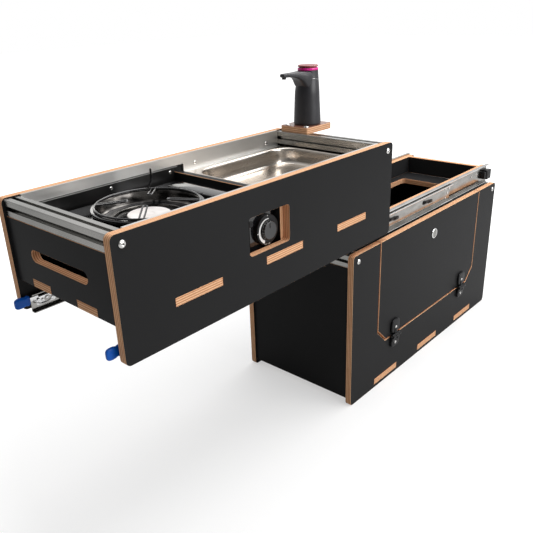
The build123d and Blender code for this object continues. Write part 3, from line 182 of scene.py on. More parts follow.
def add_sky():
    """White world whose light grows to the right, to the back and upwards."""
    world = bpy.data.worlds.new("studio")
    bpy.context.scene.world = world
    sky = Tree(world, "ShaderNodeOutputWorld")
    way = sky.node("ShaderNodeSeparateXYZ", {0: sky.node("ShaderNodeTexCoord").outputs["Generated"]})
    level = SKY_LEVEL
    for axis, slope in enumerate(SKY_SLOPE):
        level = sky.maths("ADD", sky.maths("MULTIPLY", way.outputs[axis], slope), level)
    level = sky.maths("MINIMUM", sky.maths("MAXIMUM", level, SKY_LEAST), 1.0)
    light, backdrop = (sky.node("ShaderNodeBackground", {"Color": (1, 1, 1), "Strength": strength})
                       for strength in (level, 1.0))
    mix = sky.node("ShaderNodeMixShader", {0: seen_directly(sky, SKY_IN_MIRRORS), 1: light, 2: backdrop})
    sky.feed(sky.out.inputs["Surface"], mix)


def add_floor():
    """White paper floor that keeps the shadow and glows more the farther it is from the object."""
    corners = [(x * FLOOR_HALF, y * FLOOR_HALF, 0) for x, y in ((-1, -1), (1, -1), (1, 1), (-1, 1))]
    mesh = bpy.data.meshes.new("studio_floor")
    mesh.from_pydata(corners, [], [(0, 1, 2, 3)])
    mesh.materials.append(bpy.data.materials.new("floor_paper"))
    paper = Tree(mesh.materials[0], "ShaderNodeOutputMaterial")
    spot = paper.node("ShaderNodeTexCoord").outputs["Object"]
    away = paper.node("ShaderNodeVectorMath", {0: spot}, operation="LENGTH").outputs["Value"]
    glow = paper.node("ShaderNodeMapRange", {"Value": away, "From Min": FLOOR_NEAR, "From Max": FLOOR_FAR,
                                             "To Min": FLOOR_GLOW, "To Max": FLOOR_GLOW_FAR})
    glow = paper.maths("MULTIPLY", seen_directly(paper, FLOOR_IN_MIRRORS), glow)
    diffuse = paper.node("ShaderNodeBsdfDiffuse", {"Color": (FLOOR_COLOUR,) * 3})
    total = paper.node("ShaderNodeAddShader", {0: diffuse, 1: paper.node("ShaderNodeEmission", {"Strength": glow})})
    paper.feed(paper.out.inputs["Surface"], total)
    stood("studio_floor", mesh)


add_camera()
add_sky()
add_floor()
add_lamp("overhead_softbox", (1.15, -0.2, 2.9), (0.0, 0.0, 0.4), (2.8, 3.0), 82)
add_lamp("front_softbox", (0.7, -2.7, 1.5), (-0.1, 0, 0.4), (2.2, 1.5), 46)

# Materials

PLY = 0.015
VENEERS = 3.5
END_FACE, FLOOR_FACE = -0.067, 0.0095
BLACK_FILM, BROWN_FILM = (0.0185, 0.0185, 0.019), (0.2, 0.085, 0.055)
PALE_VENEER, TAN_VENEER, DARK_VENEER = (0.94, 0.6, 0.36), (0.74, 0.39, 0.21), (0.36, 0.13, 0.055)
MATERIALS = {}


def material(maker):
    """Makes each material once."""
    name = maker.__name__
    if name not in MATERIALS:
        MATERIALS[name] = bpy.data.materials.new(name)
        maker(Shader(MATERIALS[name]))
    return MATERIALS[name]


def ply_board(s, axis, face, film=BLACK_FILM, sealed=False, **coat):
    """Film on the two faces across an axis. On the edges pale and tan veneers in turn with a dark one between:
    the place within a pair is the fractional part of the depth from a face, in plies, times VENEERS."""
    coordinates = s.node("ShaderNodeTexCoord")
    normal = s.node("ShaderNodeSeparateXYZ", {"Vector": coordinates.outputs["Normal"]})
    facing = s.maths("ABSOLUTE", normal.outputs[axis])
    if sealed:
        facing = s.maths("MAXIMUM", facing, s.maths("ABSOLUTE", normal.outputs[2]))
    is_face = s.maths("GREATER_THAN", facing, 0.9)
    place = s.node("ShaderNodeSeparateXYZ", {"Vector": coordinates.outputs["Object"]})
    wobble = s.maths("MULTIPLY", s.noise(9, 2), 0.07)
    depth = s.maths("ADD", s.maths("MULTIPLY", place.outputs[axis], 1 / PLY), wobble)
    layer = s.maths("FRACT", s.maths("MULTIPLY", s.maths("SUBTRACT", depth, face / PLY), VENEERS))
    veneer = s.ramp(layer, (0.0, PALE_VENEER), (0.38, PALE_VENEER), (0.46, DARK_VENEER), (0.58, DARK_VENEER),
                    (0.66, TAN_VENEER), (1.0, TAN_VENEER))
    veneer = s.mix(s.spread(s.noise(70, 4), 0.0, 0.3), veneer, DARK_VENEER)
    weave = s.node("ShaderNodeTexVoronoi", {"Vector": coordinates.outputs["Object"], "Scale": 520.0,
                                            "Randomness": 0.2}, feature="F1", distance="EUCLIDEAN")
    smudge = s.noise(4, 4)
    film_colour = s.mix(s.spread(smudge, 0.0, 1.0), film, tuple(1.25 * c for c in film))
    rough = s.mix(is_face, (0.6,) * 3, s.mix(smudge, (0.3,) * 3, (0.42,) * 3))
    relief = s.bump(s.maths("MULTIPLY", weave.outputs["Distance"], is_face), 0.0004, 0.22)
    s.finish(base_color=s.mix(is_face, veneer, film_colour), roughness=rough, specular_ior_level=0.05,
             normal=s.bump(s.noise(900, 2), 0.0002, 0.15, relief), **coat)


def side_ply(s):
    """Black film-faced ply standing along the length, film face at the near side's outside."""
    ply_board(s, 1, FRONT_Y)


def end_ply(s):
    """Black film-faced ply standing across an end."""
    ply_board(s, 0, END_FACE)


def partition_ply(s):
    """Black ply whose top edge is sealed black too, so that only its eased corners are tan."""
    ply_board(s, 0, END_FACE, sealed=True)


def floor_ply(s):
    """Black film-faced ply lying flat."""
    ply_board(s, 2, FLOOR_FACE)


def brown_ply(s):
    """Glossy brown film on the tap's plate, tan edges."""
    ply_board(s, 2, PLATE_TOP - PLY, BROWN_FILM, coat_weight=0.7, coat_roughness=0.06)


def rail_aluminium(s):
    """Clear anodised extrusion with fine drawing lines along its length and cloudy patches."""
    lines = s.noise(520, 2, (1, 0.012, 1))
    s.finish(base_color=s.tint(s.noise(6, 3), (0.34, 0.34, 0.325), (0.48, 0.47, 0.45)), metallic=1.0,
             roughness=s.spread(lines, 0.18, 0.34), normal=s.bump(lines, 0.0001, 0.3))


def band_aluminium(s):
    """Clear anodised flat bar with drawing lines along X."""
    lines = s.noise(520, 2, (0.012, 1, 1))
    s.finish(base_color=s.tint(s.noise(5, 4, (1, 1, 4)), (0.58, 0.57, 0.55), (0.74, 0.73, 0.71)), metallic=0.85,
             roughness=s.spread(lines, 0.24, 0.4), normal=s.bump(lines, 0.0001, 0.3))


def slide_steel(s):
    """Bright zinc on cold-rolled steel, with rolling lines and a mottled spangle."""
    lines = s.noise(420, 3, (0.012, 1, 1))
    spangle = s.ramp(s.noise(55, 4, (0.5, 1, 1)), (0.35, (0.36, 0.35, 0.33)), (0.65, (0.5, 0.49, 0.47)))
    s.finish(base_color=spangle, metallic=1.0, roughness=s.spread(lines, 0.1, 0.22),
             normal=s.bump(lines, 0.00015, 0.2))


def bolt_steel(s):
    """Bright stainless button heads, faintly turned."""
    lines = s.noise(900, 2)
    s.finish(base_color=(0.78, 0.77, 0.75), metallic=1.0, roughness=s.spread(lines, 0.1, 0.22),
             normal=s.bump(lines, 0.00005, 0.2))


def black_nylon(s):
    """Moulded black plastic with a fine spark texture."""
    cloud = s.noise(20, 3)
    s.finish(base_color=s.tint(cloud, (0.005, 0.005, 0.006), (0.009, 0.009, 0.01)), specular_ior_level=0.25,
             roughness=s.spread(cloud, 0.28, 0.4), normal=s.bump(s.noise(1400, 2), 0.0002, 0.25))


def black_enamel(s):
    """Glossy black enamel with slight orange peel and dust-fine roughness clouds."""
    cloud = s.noise(12, 3)
    s.finish(base_color=s.tint(cloud, (0.004, 0.004, 0.005), (0.007, 0.007, 0.008)), coat_weight=0.6,
             coat_roughness=0.05, roughness=s.spread(cloud, 0.06, 0.14), normal=s.bump(s.noise(120, 2), 0.0002, 0.05))


def satin_black(s):
    """Black painted sheet with a soft sheen and long brushed streaks."""
    streak = s.noise(26, 3, (1.0, 1.0, 0.12))
    s.finish(base_color=s.ramp(streak, (0.3, (0.004, 0.004, 0.004)), (0.75, (0.014, 0.013, 0.013))),
             roughness=s.spread(streak, 0.22, 0.4), normal=s.bump(streak, 0.0003, 0.1))


def bowl_enamel(s):
    """Polished dark enamel of the drip bowl's wall and bead: nearly a mirror."""
    ripple = s.noise(22, 2, (1, 1, 2.5))
    s.finish(base_color=s.ramp(ripple, (0.4, (0.02, 0.019, 0.018)), (0.66, (0.25, 0.235, 0.22))), metallic=1.0,
             roughness=s.spread(ripple, 0.1, 0.24), normal=s.bump(ripple, 0.0012, 0.25))


def burner_metal(s):
    """Pale cast burner with a sandy skin and a heat tint."""
    s.finish(base_color=s.tint(s.noise(30, 3), (0.74, 0.69, 0.66), (0.88, 0.85, 0.83)), metallic=0.15,
             roughness=0.45, normal=s.bump(s.noise(900, 3), 0.0003, 0.25))


def sink_steel(s):
    """Pressed stainless steel, brushed along its length, with a warm cast."""
    lines = s.noise(420, 3, (0.02, 1, 1))
    s.finish(base_color=s.tint(s.noise(7, 3), (0.62, 0.56, 0.5), (0.74, 0.69, 0.63)), metallic=1.0,
             roughness=s.spread(lines, 0.12, 0.26), normal=s.bump(lines, 0.0001, 0.2))


def chrome(s):
    """Bright chrome plating with faint ripples."""
    lines = s.noise(60, 3)
    s.finish(base_color=(0.84, 0.84, 0.84), metallic=1.0, roughness=s.spread(lines, 0.04, 0.12),
             normal=s.bump(lines, 0.0003, 0.1))


def silver_ticks_and_painted_highlight(s):
    """Silver of the knob's ticks, and of the crescent band that is a painted highlight of the bezel."""
    s.finish(base_color=s.tint(s.noise(1500, 2), (0.84, 0.84, 0.83), (0.95, 0.95, 0.94)), metallic=0.1,
             roughness=0.4)


def blue_grip(s):
    """Blue moulded grip."""
    cloud = s.noise(40, 3)
    s.finish(base_color=s.tint(cloud, (0.0, 0.09, 0.5), (0.0, 0.12, 0.6)), specular_ior_level=0.3,
             roughness=s.spread(cloud, 0.26, 0.36), normal=s.bump(s.noise(1200, 2), 0.0001, 0.2))


def tap_shell(s):
    """Dark charcoal satin plastic of the tap."""
    cloud = s.noise(18, 3)
    s.finish(base_color=s.tint(cloud, (0.022, 0.022, 0.026), (0.032, 0.032, 0.037)),
             roughness=s.spread(cloud, 0.3, 0.4), normal=s.bump(s.noise(1800, 2), 0.00015, 0.2))


def magenta_ring(s):
    """Bright magenta gloss ring."""
    cloud = s.noise(60, 3)
    s.finish(base_color=s.tint(cloud, (0.8, 0.008, 0.26), (0.9, 0.02, 0.36)), roughness=s.spread(cloud, 0.12, 0.2))


def brown_cap(s):
    """Tan brown push button."""
    cloud = s.noise(40, 4)
    s.finish(base_color=s.tint(cloud, (0.22, 0.05, 0.05), (0.34, 0.09, 0.08)), roughness=s.spread(cloud, 0.25, 0.38))


# Shapes

FACING = {
    "up": ((1, 0, 0), (0, 1, 0), (0, 0, 1)), "down": ((1, 0, 0), (0, 1, 0), (0, 0, -1)),
    "front": ((1, 0, 0), (0, 0, 1), (0, -1, 0)), "back": ((1, 0, 0), (0, 0, 1), (0, 1, 0)),
    "right": ((0, 1, 0), (0, 0, 1), (1, 0, 0)),
}


def full_turn(steps):
    """Angles of a whole turn in equal steps."""
    return np.linspace(0, 2 * np.pi, steps, endpoint=False)


def powered(value, power):
    """Value raised to a power with its sign kept, for superellipses."""
    return np.sign(value) * np.abs(value) ** power


def skin(points, looped=False):
    """Skin over a grid of points (rows, around, 3): quads between neighbours and closed around. The last row
    joins the first when looped; if not, each end row is closed by a fan from its middle."""
    rows, around = points.shape[:2]
    row = np.arange(rows if looped else rows - 1)[:, None]
    turn = np.arange(around)[None, :]
    corner = [(r % rows) * around + t % around
              for r, t in ((row, turn), (row, turn + 1), (row + 1, turn + 1), (row + 1, turn))]
    quads = np.stack(np.broadcast_arrays(*corner), -1).reshape(-1, 4)
    corners = points.reshape(-1, 3)
    fans = np.zeros((0, 3), int)
    if not looped:
        corners = np.concatenate([corners, [points[0].mean(0), points[-1].mean(0)]])
        t = np.arange(around)
        u = (t + 1) % around
        last = (rows - 1) * around
        fans = np.concatenate([np.stack([0 * t + rows * around, u, t], -1),
                               np.stack([0 * t + rows * around + 1, last + t, last + u], -1)])
    triangles = np.concatenate([quads[:, [0, 1, 2]], quads[:, [0, 2, 3]], fans])
    a, b, c = (corners[triangles[:, i]] - corners.mean(0) for i in range(3))
    if np.einsum("ij,ij->", a, np.cross(b, c)) < 0:
        quads, fans = quads[:, ::-1], fans[:, ::-1]
    return corners, quads, fans


def repeated(part, places):
    """One skin set down at many places, as whole arrays."""
    corners, quads, fans = part
    places = np.asarray(places, float)
    step = (np.arange(len(places)) * len(corners))[:, None, None]
    return ((corners[None] + places[:, None]).reshape(-1, 3), (quads[None] + step).reshape(-1, 4),
            (fans[None] + step).reshape(-1, 3))


def mirrored(parts):
    """The same skins beyond the middle of the width, turned so that they still face outwards."""
    return [(corners * (1, -1, 1) + (0, 2 * MIDDLE_Y, 0), quads[:, ::-1], fans[:, ::-1])
            for corners, quads, fans in parts]


def rounded(points, reach, steps=5, looped=False):
    """Line through points whose corners are parabolas that leave and meet the line a reach from each corner."""
    points = np.array(points, float)
    before, after = np.roll(points, 1, 0), np.roll(points, -1, 0)
    lengths = [np.maximum(np.linalg.norm(side - points, axis=1), 1e-9) for side in (before, after)]
    start, end = (points + (side - points) * (np.minimum(reach, length / 2.001) / length)[:, None]
                  for side, length in zip((before, after), lengths))
    t = np.linspace(0, 1, steps)[None, :, None]
    curve = (1 - t) ** 2 * start[:, None] + 2 * t * (1 - t) * points[:, None] + t ** 2 * end[:, None]
    if looped:
        return curve.reshape(-1, points.shape[1])
    return np.concatenate([points[:1], curve[1:-1].reshape(-1, points.shape[1]), points[-1:]])


def peg(radius, length, ease, steps=3):
    """Profile of a round peg with parabolic corners."""
    return rounded([(0, 0), (radius, 0), (radius, length), (0, length)], ease, steps)


def eased(places, stops, soften=7):
    """Values read between stops (place, value, ...) and then softened by a moving average."""
    stops = np.array(stops, float)
    margin = soften // 2
    columns = [np.interp(places, stops[:, 0], column) for column in stops[:, 1:].T]
    kernel = np.ones(soften) / soften
    return [np.convolve(np.pad(column, margin, mode="edge"), kernel, "valid") for column in columns]


def turned(profile, centre, facing="up", around=48, shape=1.0, looped=False):
    """Profile of (radius, height) points turned about an axis through a centre; shape scales the radius by row
    and angle."""
    across, along, out = (np.array(way, float) for way in FACING[facing])
    profile = np.array(profile, float)
    angle = full_turn(around)
    radius = profile[:, :1] * shape * np.ones(around)
    points = (radius[..., None] * (np.cos(angle)[:, None] * across + np.sin(angle)[:, None] * along)
              + profile[:, 1, None, None] * out + np.array(centre, float))
    return skin(points, looped)


def carried(path, section, upward=(0.31, 0.2, 0.93), looped=False):
    """Closed section (one, or one for each point) carried along a path and kept square to it."""
    path = np.array(path, float)
    section = np.array(section, float)
    section = section if section.ndim == 3 else np.repeat(section[None], len(path), 0)
    ahead = (np.roll(path, -1, 0) - np.roll(path, 1, 0)) if looped else np.gradient(path, axis=0)
    side = np.cross(ahead, upward)
    side /= np.linalg.norm(side, axis=1)[:, None]
    up = np.cross(side, ahead)
    up /= np.linalg.norm(up, axis=1)[:, None]
    points = path[:, None] + section[..., :1] * side[:, None] + section[..., 1:] * up[:, None]
    return skin(points, looped)


def circle(radius, around=10):
    """Round section: radius times (cos, sin)."""
    angle = full_turn(around)
    return radius * np.stack([np.cos(angle), np.sin(angle)], -1)


def oblong(half, reach, steps=7):
    """Rectangle of two half sizes with rounded corners."""
    return rounded(np.array([(1, 1), (-1, 1), (-1, -1), (1, -1)]) * half, reach, steps, looped=True)


def pad(low, high, thin, reach, edge, steps=5, around=6):
    """Plate or block from low to high: rounded rectangle square to its thin axis, and faces that run into its
    sides by quarter circles, in by e(1 - sin t) while they rise by e(1 - cos t)."""
    low, high = np.array(low, float), np.array(high, float)
    first, second = [axis for axis in range(3) if axis != thin]
    half, middle = (high - low) / 2, (high + low) / 2
    t = np.linspace(0, np.pi / 2, steps)
    inset = np.concatenate([edge * (1 - np.sin(t)), edge * (1 - np.sin(t[::-1]))])
    rise = np.concatenate([edge * (1 - np.cos(t)) - half[thin], half[thin] - edge * (1 - np.cos(t[::-1]))])
    outline = oblong((half[first], half[second]), reach, around)
    points = np.zeros((len(inset), len(outline), 3))
    points[..., first] = middle[first] + outline[:, 0] * (1 - inset[:, None] / half[first])
    points[..., second] = middle[second] + outline[:, 1] * (1 - inset[:, None] / half[second])
    points[..., thin] = middle[thin] + rise[:, None]
    return skin(points)


def stack(levels, middle, steps=9):
    """Rounded rectangles (half x, half y, corner, z) one on the next, joined by one skin."""
    rows = [np.column_stack([oblong((x, y), corner, steps) + middle, np.full(4 * steps, z)])
            for x, y, corner, z in levels]
    return skin(np.array(rows))


def bolt(seat, facing, head, rise, shank, reach, socket, sides=6, around=48):
    """Domed head with a hex or cross socket, and its shank: one turned profile whose socket rows are scaled to
    straight sides by cos(pi/n) / cos(angle within a side)."""
    dome = [(head * np.cos(a), rise * (0.25 + 0.75 * np.sin(a))) for a in np.linspace(0, 1.12, 6)]
    profile = ([(0, -reach), (shank, -reach), (shank, 0), (head * 0.97, 0), (head, rise * 0.08)] + dome
               + [(socket * 1.12, rise * 0.99), (socket, rise * 0.93), (socket, rise * 0.35), (0, rise * 0.3)])
    side = np.pi / sides
    shape = np.ones((len(profile), around))
    shape[-3:] = np.cos(side) / np.cos(full_turn(around) % (2 * side) - side)
    return turned(profile, seat, facing, around, shape)


def finished(name, mesh, maker, body, stands_for, crisp):
    """Makes a mesh an object on its body, smooth except for edges sharper than an angle."""
    mesh.shade_smooth()
    mesh.set_sharp_from_angle(angle=np.radians(crisp))
    mesh.materials.clear()
    mesh.materials.append(material(maker))
    made = bpy.data.objects.new(name, mesh)
    bpy.context.collection.objects.link(made)
    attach(made, body)
    if stands_for:
        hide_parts(*stands_for)
    return made


def piece(name, parts, maker, body, stands_for=(), crisp=34):
    """One object from several skins."""
    mesh = bpy.data.meshes.new(name)
    start, faces = 0, []
    for corners, quads, fans in parts:
        faces += (quads + start).tolist() + (fans + start).tolist()
        start += len(corners)
    mesh.from_pydata(np.concatenate([part[0] for part in parts]).tolist(), [], faces)
    shape = bmesh.new()
    shape.from_mesh(mesh)
    bmesh.ops.remove_doubles(shape, verts=shape.verts, dist=1e-7)
    bmesh.ops.dissolve_degenerate(shape, edges=shape.edges, dist=1e-8)
    shape.to_mesh(mesh)
    shape.free()
    return finished(name, mesh, maker, body, stands_for, crisp)


def eased_board(node, ease, maker, body):
    """Board of the model with its sharp edges cut back at 45 degrees."""
    shape = bmesh.new()
    shape.from_mesh(nodes[node].data)
    bmesh.ops.remove_doubles(shape, verts=shape.verts, dist=2e-6)
    bmesh.ops.dissolve_limit(shape, angle_limit=np.radians(0.6), verts=shape.verts, edges=shape.edges)
    sharp = [edge for edge in shape.edges if edge.is_manifold and edge.calc_face_angle(0) > 0.9]
    bmesh.ops.bevel(shape, geom=sharp, offset=ease, segments=1, profile=0.5, affect="EDGES", clamp_overlap=True)
    bmesh.ops.triangulate(shape, faces=[face for face in shape.faces if len(face.verts) > 4])
    mesh = bpy.data.meshes.new(node + "_board")
    shape.to_mesh(mesh)
    shape.free()
    if "custom_normal" in mesh.attributes:
        mesh.attributes.remove(mesh.attributes["custom_normal"])
    return finished(node + "_board", mesh, maker, body, (node,), 28)


# Places shared by the pieces, in metres

MIDDLE_Y = 0.00485
FRONT_Y = -0.15855
BURNER = np.array([-0.469, 0.01745, 0.0])
BOWL_FLOOR, BOWL_RIM = 0.561, 0.585
SHEET = 0.0012
PAN_RING = 0.095
KNOB = np.array([-0.326, FRONT_Y, 0.528])
TAP_X, TAP_Y = 0.102, 0.09745
PLATE_TOP = 0.634
LATCHES = (0.117, 0.288)
BALL_STEP = 0.0052
WEB_SCREW_Z = 0.4249
LEAF_FACE = -0.1651


def make_boards():
    """Plywood boards with eased edges; the ones around the flap and the knob's opening are eased more."""
    boards = (
        (side_ply, "cabinet", (("cabinet_front_panel", 0.0006), ("cabinet_back_panel", 0.0006),
                               ("runner_board_front", 0.0006), ("runner_board_back", 0.0006))),
        (side_ply, "unit", (("unit_front_panel", 0.0009), ("unit_back_panel", 0.0007))),
        (side_ply, "flap", (("flap", 0.0006),)),
        (end_ply, "cabinet", (("cabinet_left_end", 0.0005), ("cabinet_right_end", 0.0005),
                              ("tray_end_boards", 0.0006))),
        (end_ply, "unit", (("unit_left_end", 0.0005), ("unit_right_end", 0.0005))),
        (partition_ply, "unit", (("unit_partition", 0.0008),)),
        (floor_ply, "cabinet", (("cabinet_floor", 0.0005), ("cabinet_top_panel", 0.0007))),
        (floor_ply, "unit", (("unit_floor", 0.0005),)),
    )
    for maker, body, members in boards:
        for node, ease in members:
            eased_board(node, ease, maker, body)
    eased_board("tap_plate", 0.0008, brown_ply, "unit")


def make_bowl():
    """Drip bowl: sheet profiles turned about the burner. Black floor, polished bead, polished steep wall, and a
    black rolled rim."""
    def sheet(name, top, maker, reach=0.003, stands_for=()):
        """Sheet below a line of (radius, height) points."""
        line = rounded(top, reach, 6)
        ahead = np.gradient(line, axis=0)
        square = np.column_stack([ahead[:, 1], -ahead[:, 0]]) / np.linalg.norm(ahead, axis=1)[:, None]
        profile = np.concatenate([line, (line + square * SHEET)[::-1]])
        piece(name, [turned(profile, BURNER, "up", 144, looped=True)], maker, "unit", stands_for)

    sheet("bowl_floor", [(0.0262, BOWL_FLOOR), (0.062, BOWL_FLOOR), (0.07, BOWL_FLOOR),
                         (0.085, BOWL_FLOOR + 0.0012), (0.0872, BOWL_FLOOR + 0.0022)], black_enamel)
    sheet("bowl_bead", [(0.0617, BOWL_FLOOR + 0.0002), (0.0626, BOWL_FLOOR + 0.0048), (0.0654, BOWL_FLOOR + 0.0048),
                        (0.0665, BOWL_FLOOR + 0.0002)], bowl_enamel, 0.0016)
    sheet("bowl_wall", [(0.0868, BOWL_FLOOR + 0.002), (0.09, BOWL_FLOOR + 0.0046), (0.0952, BOWL_RIM - 0.003),
                        (0.0972, BOWL_RIM - 0.0003)], bowl_enamel, stands_for=("drip_bowl",))
    rim = rounded([(0.0964, BOWL_RIM), (0.1018, BOWL_RIM), (0.1027, BOWL_RIM - 0.001), (0.1027, BOWL_RIM - 0.0036),
                   (0.1017, BOWL_RIM - 0.0036), (0.1014, BOWL_RIM - 0.0012), (0.0964, BOWL_RIM - 0.001)],
                  0.0008, 4, looped=True)
    piece("bowl_rim_roll", [turned(rim, BURNER, "up", 144, looped=True)], black_enamel, "unit", ())


def make_burner():
    """Burner: flat disc with a shallow centre dish and a ported rim (radius less a cosine of 36 teeth) on its
    neck, foot and feed pipe."""
    around = 216
    face = rounded([(0.0, 0.5674), (0.0085, 0.5674), (0.0105, 0.568), (0.0385, 0.568), (0.04, 0.5668),
                    (0.04, 0.5654), (0.0375, 0.565), (0.03, 0.5638), (0.0243, 0.563), (0.0243, 0.5585),
                    (0.0, 0.5585)], 0.0012, 4)
    teeth = 1 - 0.022 * (0.5 - 0.5 * np.cos(36 * full_turn(around)))
    on_rim = (face[:, 0] > 0.0385) & (face[:, 1] < 0.5672)
    base = rounded([(0, 0.5568), (0.0316, 0.5568), (0.032, 0.5598), (0.024, 0.56), (0, 0.56)], 0.0006, 3)
    pipe = rounded([(0, 0.002), (0.009, 0.002), (0.009, 0.09), (0.0075, 0.092), (0, 0.092)], 0.0008, 3)
    parts = [turned(face, BURNER, "up", around, np.where(on_rim[:, None], teeth, 1.0)),
             turned(base, BURNER, "up", 64), turned(peg(0.016, 0.064, 0.001), BURNER + (0, 0, 0.493), "up"),
             turned(pipe, BURNER + (0, 0, 0.509), "right", 32)]
    piece("burner_casting", parts, burner_metal, "unit", ("burner_head",))


def make_pan_support():
    """Round wires carried along smooth paths: a ring on the bowl's rim, four low loops that reach inwards and
    one upright wire at the far side."""
    centre = BURNER + (0, 0, BOWL_RIM + 0.0023)
    parts = [turned(circle(0.002, 12) + (PAN_RING, 0), centre, "up", 144, looped=True)]
    for turn in np.radians([45, 135, 225, 315]):
        out = np.array([np.cos(turn), np.sin(turn), 0])
        across = np.array([-np.sin(turn), np.cos(turn), 0]) * 0.004
        seat, tip = centre + out * PAN_RING, centre + out * 0.036 + (0, 0, 0.005)
        path = rounded([seat - across, tip - across, tip + across, seat + across], 0.0039, 8)
        parts.append(carried(path, circle(0.0017, 10), (0.0, 0.0, 1.0)))
    turn = np.radians(52)
    foot = centre + np.array([np.cos(turn), np.sin(turn), 0]) * PAN_RING
    bend = foot + np.array([np.sin(turn), -np.cos(turn), 0]) * 0.009 + (0, 0, 0.606 - foot[2])
    top = bend + (0, 0, 0.0198)
    parts.append(carried(rounded([foot, bend, top], 0.006, 8), circle(0.0021, 10), (0.9, 0.1, 0.05)))
    tip = [(0, -0.0016), (0.0011, -0.0012), (0.0016, 0), (0.0011, 0.0011), (0, 0.0015)]
    parts.append(turned(tip, top, "up", 10))
    piece("pan_support_wires", parts, black_enamel, "pan_support", ("pan_support",))


def make_cartridge_lid():
    """Lid: rounded rectangle whose top rises by a crown times 1 - (x / half)^2, with a knuckled hinge edge."""
    half, middle = np.array([0.02, 0.115]), np.array([-0.325, -0.01155])
    levels = [(0.975, 0.5725), (0.995, 0.5727), (1.0, 0.5733), (1.0, 0.5763), (0.992, 0.5771), (0.965, 0.5776)]
    levels += [(share, 0.5777) for share in (0.85, 0.65, 0.45, 0.25, 0.02)]
    rows = []
    for share, z in levels:
        outline = oblong(half - (1 - share) * half[0], 0.006 * share, 9)
        crown = 0.0017 * np.clip(1 - (outline[:, 0] / half[0]) ** 2, 0, 1) * (z > 0.577)
        rows.append(np.column_stack([outline + middle, z + crown]))
    parts = [skin(np.array(rows))]
    knuckle = rounded([(0, 0), (0.0027, 0), (0.0029, 0.0004), (0.0029, 0.0296), (0.0027, 0.03), (0, 0.03)],
                      0.0003, 3)
    places = np.arange(7)[:, None] * (0, 0.0333, 0)
    parts.append(repeated(turned(knuckle, (-0.3485, -0.12655, 0.5756), "back", 16), places))
    piece("cartridge_lid_pressing", parts, black_enamel, "cartridge_lid", ("cartridge_lid",))


def make_knob():
    """Stove knob: turned skirt and cap whose grip is ribbed by a cosine of 22 ribs, with a pointer bar."""
    around = 176
    profile = rounded([(0, 0.042), (0.004, 0.042), (0.004, 0.0158), (0.0185, 0.0158), (0.0186, 0.0136),
                       (0.0182, 0.0131), (0.0177, 0.0092), (0.0166, 0.0085), (0.013, 0.0088), (0, 0.009)],
                      0.0007, 5)
    profile[:, 1] *= -1
    ribs = 1 - 0.045 * (0.5 - 0.5 * np.cos(22 * full_turn(around))) ** 0.6
    on_grip = (profile[:, 0] > 0.016) & (profile[:, 0] < 0.0184) & (profile[:, 1] > -0.0132)
    parts = [turned(profile, KNOB, "front", around, np.where(on_grip[:, None], ribs, 1.0)),
             pad(KNOB + (-0.0015, 0.0078, 0.005), KNOB + (0.0015, 0.0095, 0.015), 1, 0.001, 0.0004)]
    piece("knob_moulding", parts, black_enamel, "knob", ("stove_knob",))


def make_knob_seat_and_painted_highlight():
    """Black seat behind the knob. On it a silver band, painted as the crescent highlight of a bright bezel, that
    widens from 1.2 mm by 4.6 mm times its share of the turn to the power 0.8, and silver ticks."""
    bezel = rounded([(0.0192, -0.0157), (0.0287, -0.0157), (0.029, -0.0161), (0.029, -0.0239), (0.0192, -0.0239)],
                    0.0004, 3, looped=True)
    piece("knob_seat", [turned(bezel, KNOB, "front", 96, looped=True)], black_nylon, "unit", ("knob_ring",))
    front, back = 0.01545, 0.01585

    def on_seat_face(radius, turn, depth):
        """Points on the seat by radius and angle, at a depth."""
        return KNOB + np.stack(np.broadcast_arrays(radius * np.cos(turn), depth, radius * np.sin(turn)), -1)

    # Painted highlight: this widening silver band stands for the crescent of light on a bright bezel.
    share = np.linspace(0, 1, 40)
    turn = np.radians(80 + 166 * share)
    inner = 0.0204
    outer = inner + 0.0012 + 0.0046 * share ** 0.8
    parts = [skin(np.stack([on_seat_face(inner, turn, back), on_seat_face(inner, turn, front), on_seat_face(outer, turn, front),
                            on_seat_face(outer, turn, back)], 1))]
    for degrees, far, width in ((183, 0.0286, 0.0007), (250, 0.0284, 0.0006), (259, 0.0278, 0.0006),
                                (268, 0.0278, 0.0006), (277, 0.0284, 0.0006), (90, 0.028, 0.0005)):
        along, across = np.array([0.0262, 0.0262, far, far]), np.array([-width, width, width, -width])
        radius, turn = np.hypot(along, across), np.radians(degrees) + np.arctan2(across, along)
        parts.append(skin(np.stack([on_seat_face(radius, turn, depth) for depth in (front, back)])))
    piece("knob_ticks_and_painted_highlight", parts, silver_ticks_and_painted_highlight, "unit", ())


def make_gas_lever():
    """Gas lever: thumb pad in front of the slot, its pin, and a guide plate behind."""
    parts = [pad((-0.3735, -0.1416, 0.5435), (-0.3625, -0.1368, 0.5545), 1, 0.004, 0.0014),
             turned(peg(0.0016, 0.013, 0.0002), (-0.368, -0.1374, 0.549), "back", 20),
             pad((-0.374, -0.1256, 0.5432), (-0.362, -0.1242, 0.5548), 1, 0.003, 0.0004)]
    piece("gas_lever_moulding", parts, black_nylon, "gas_lever", ("gas_lever",))


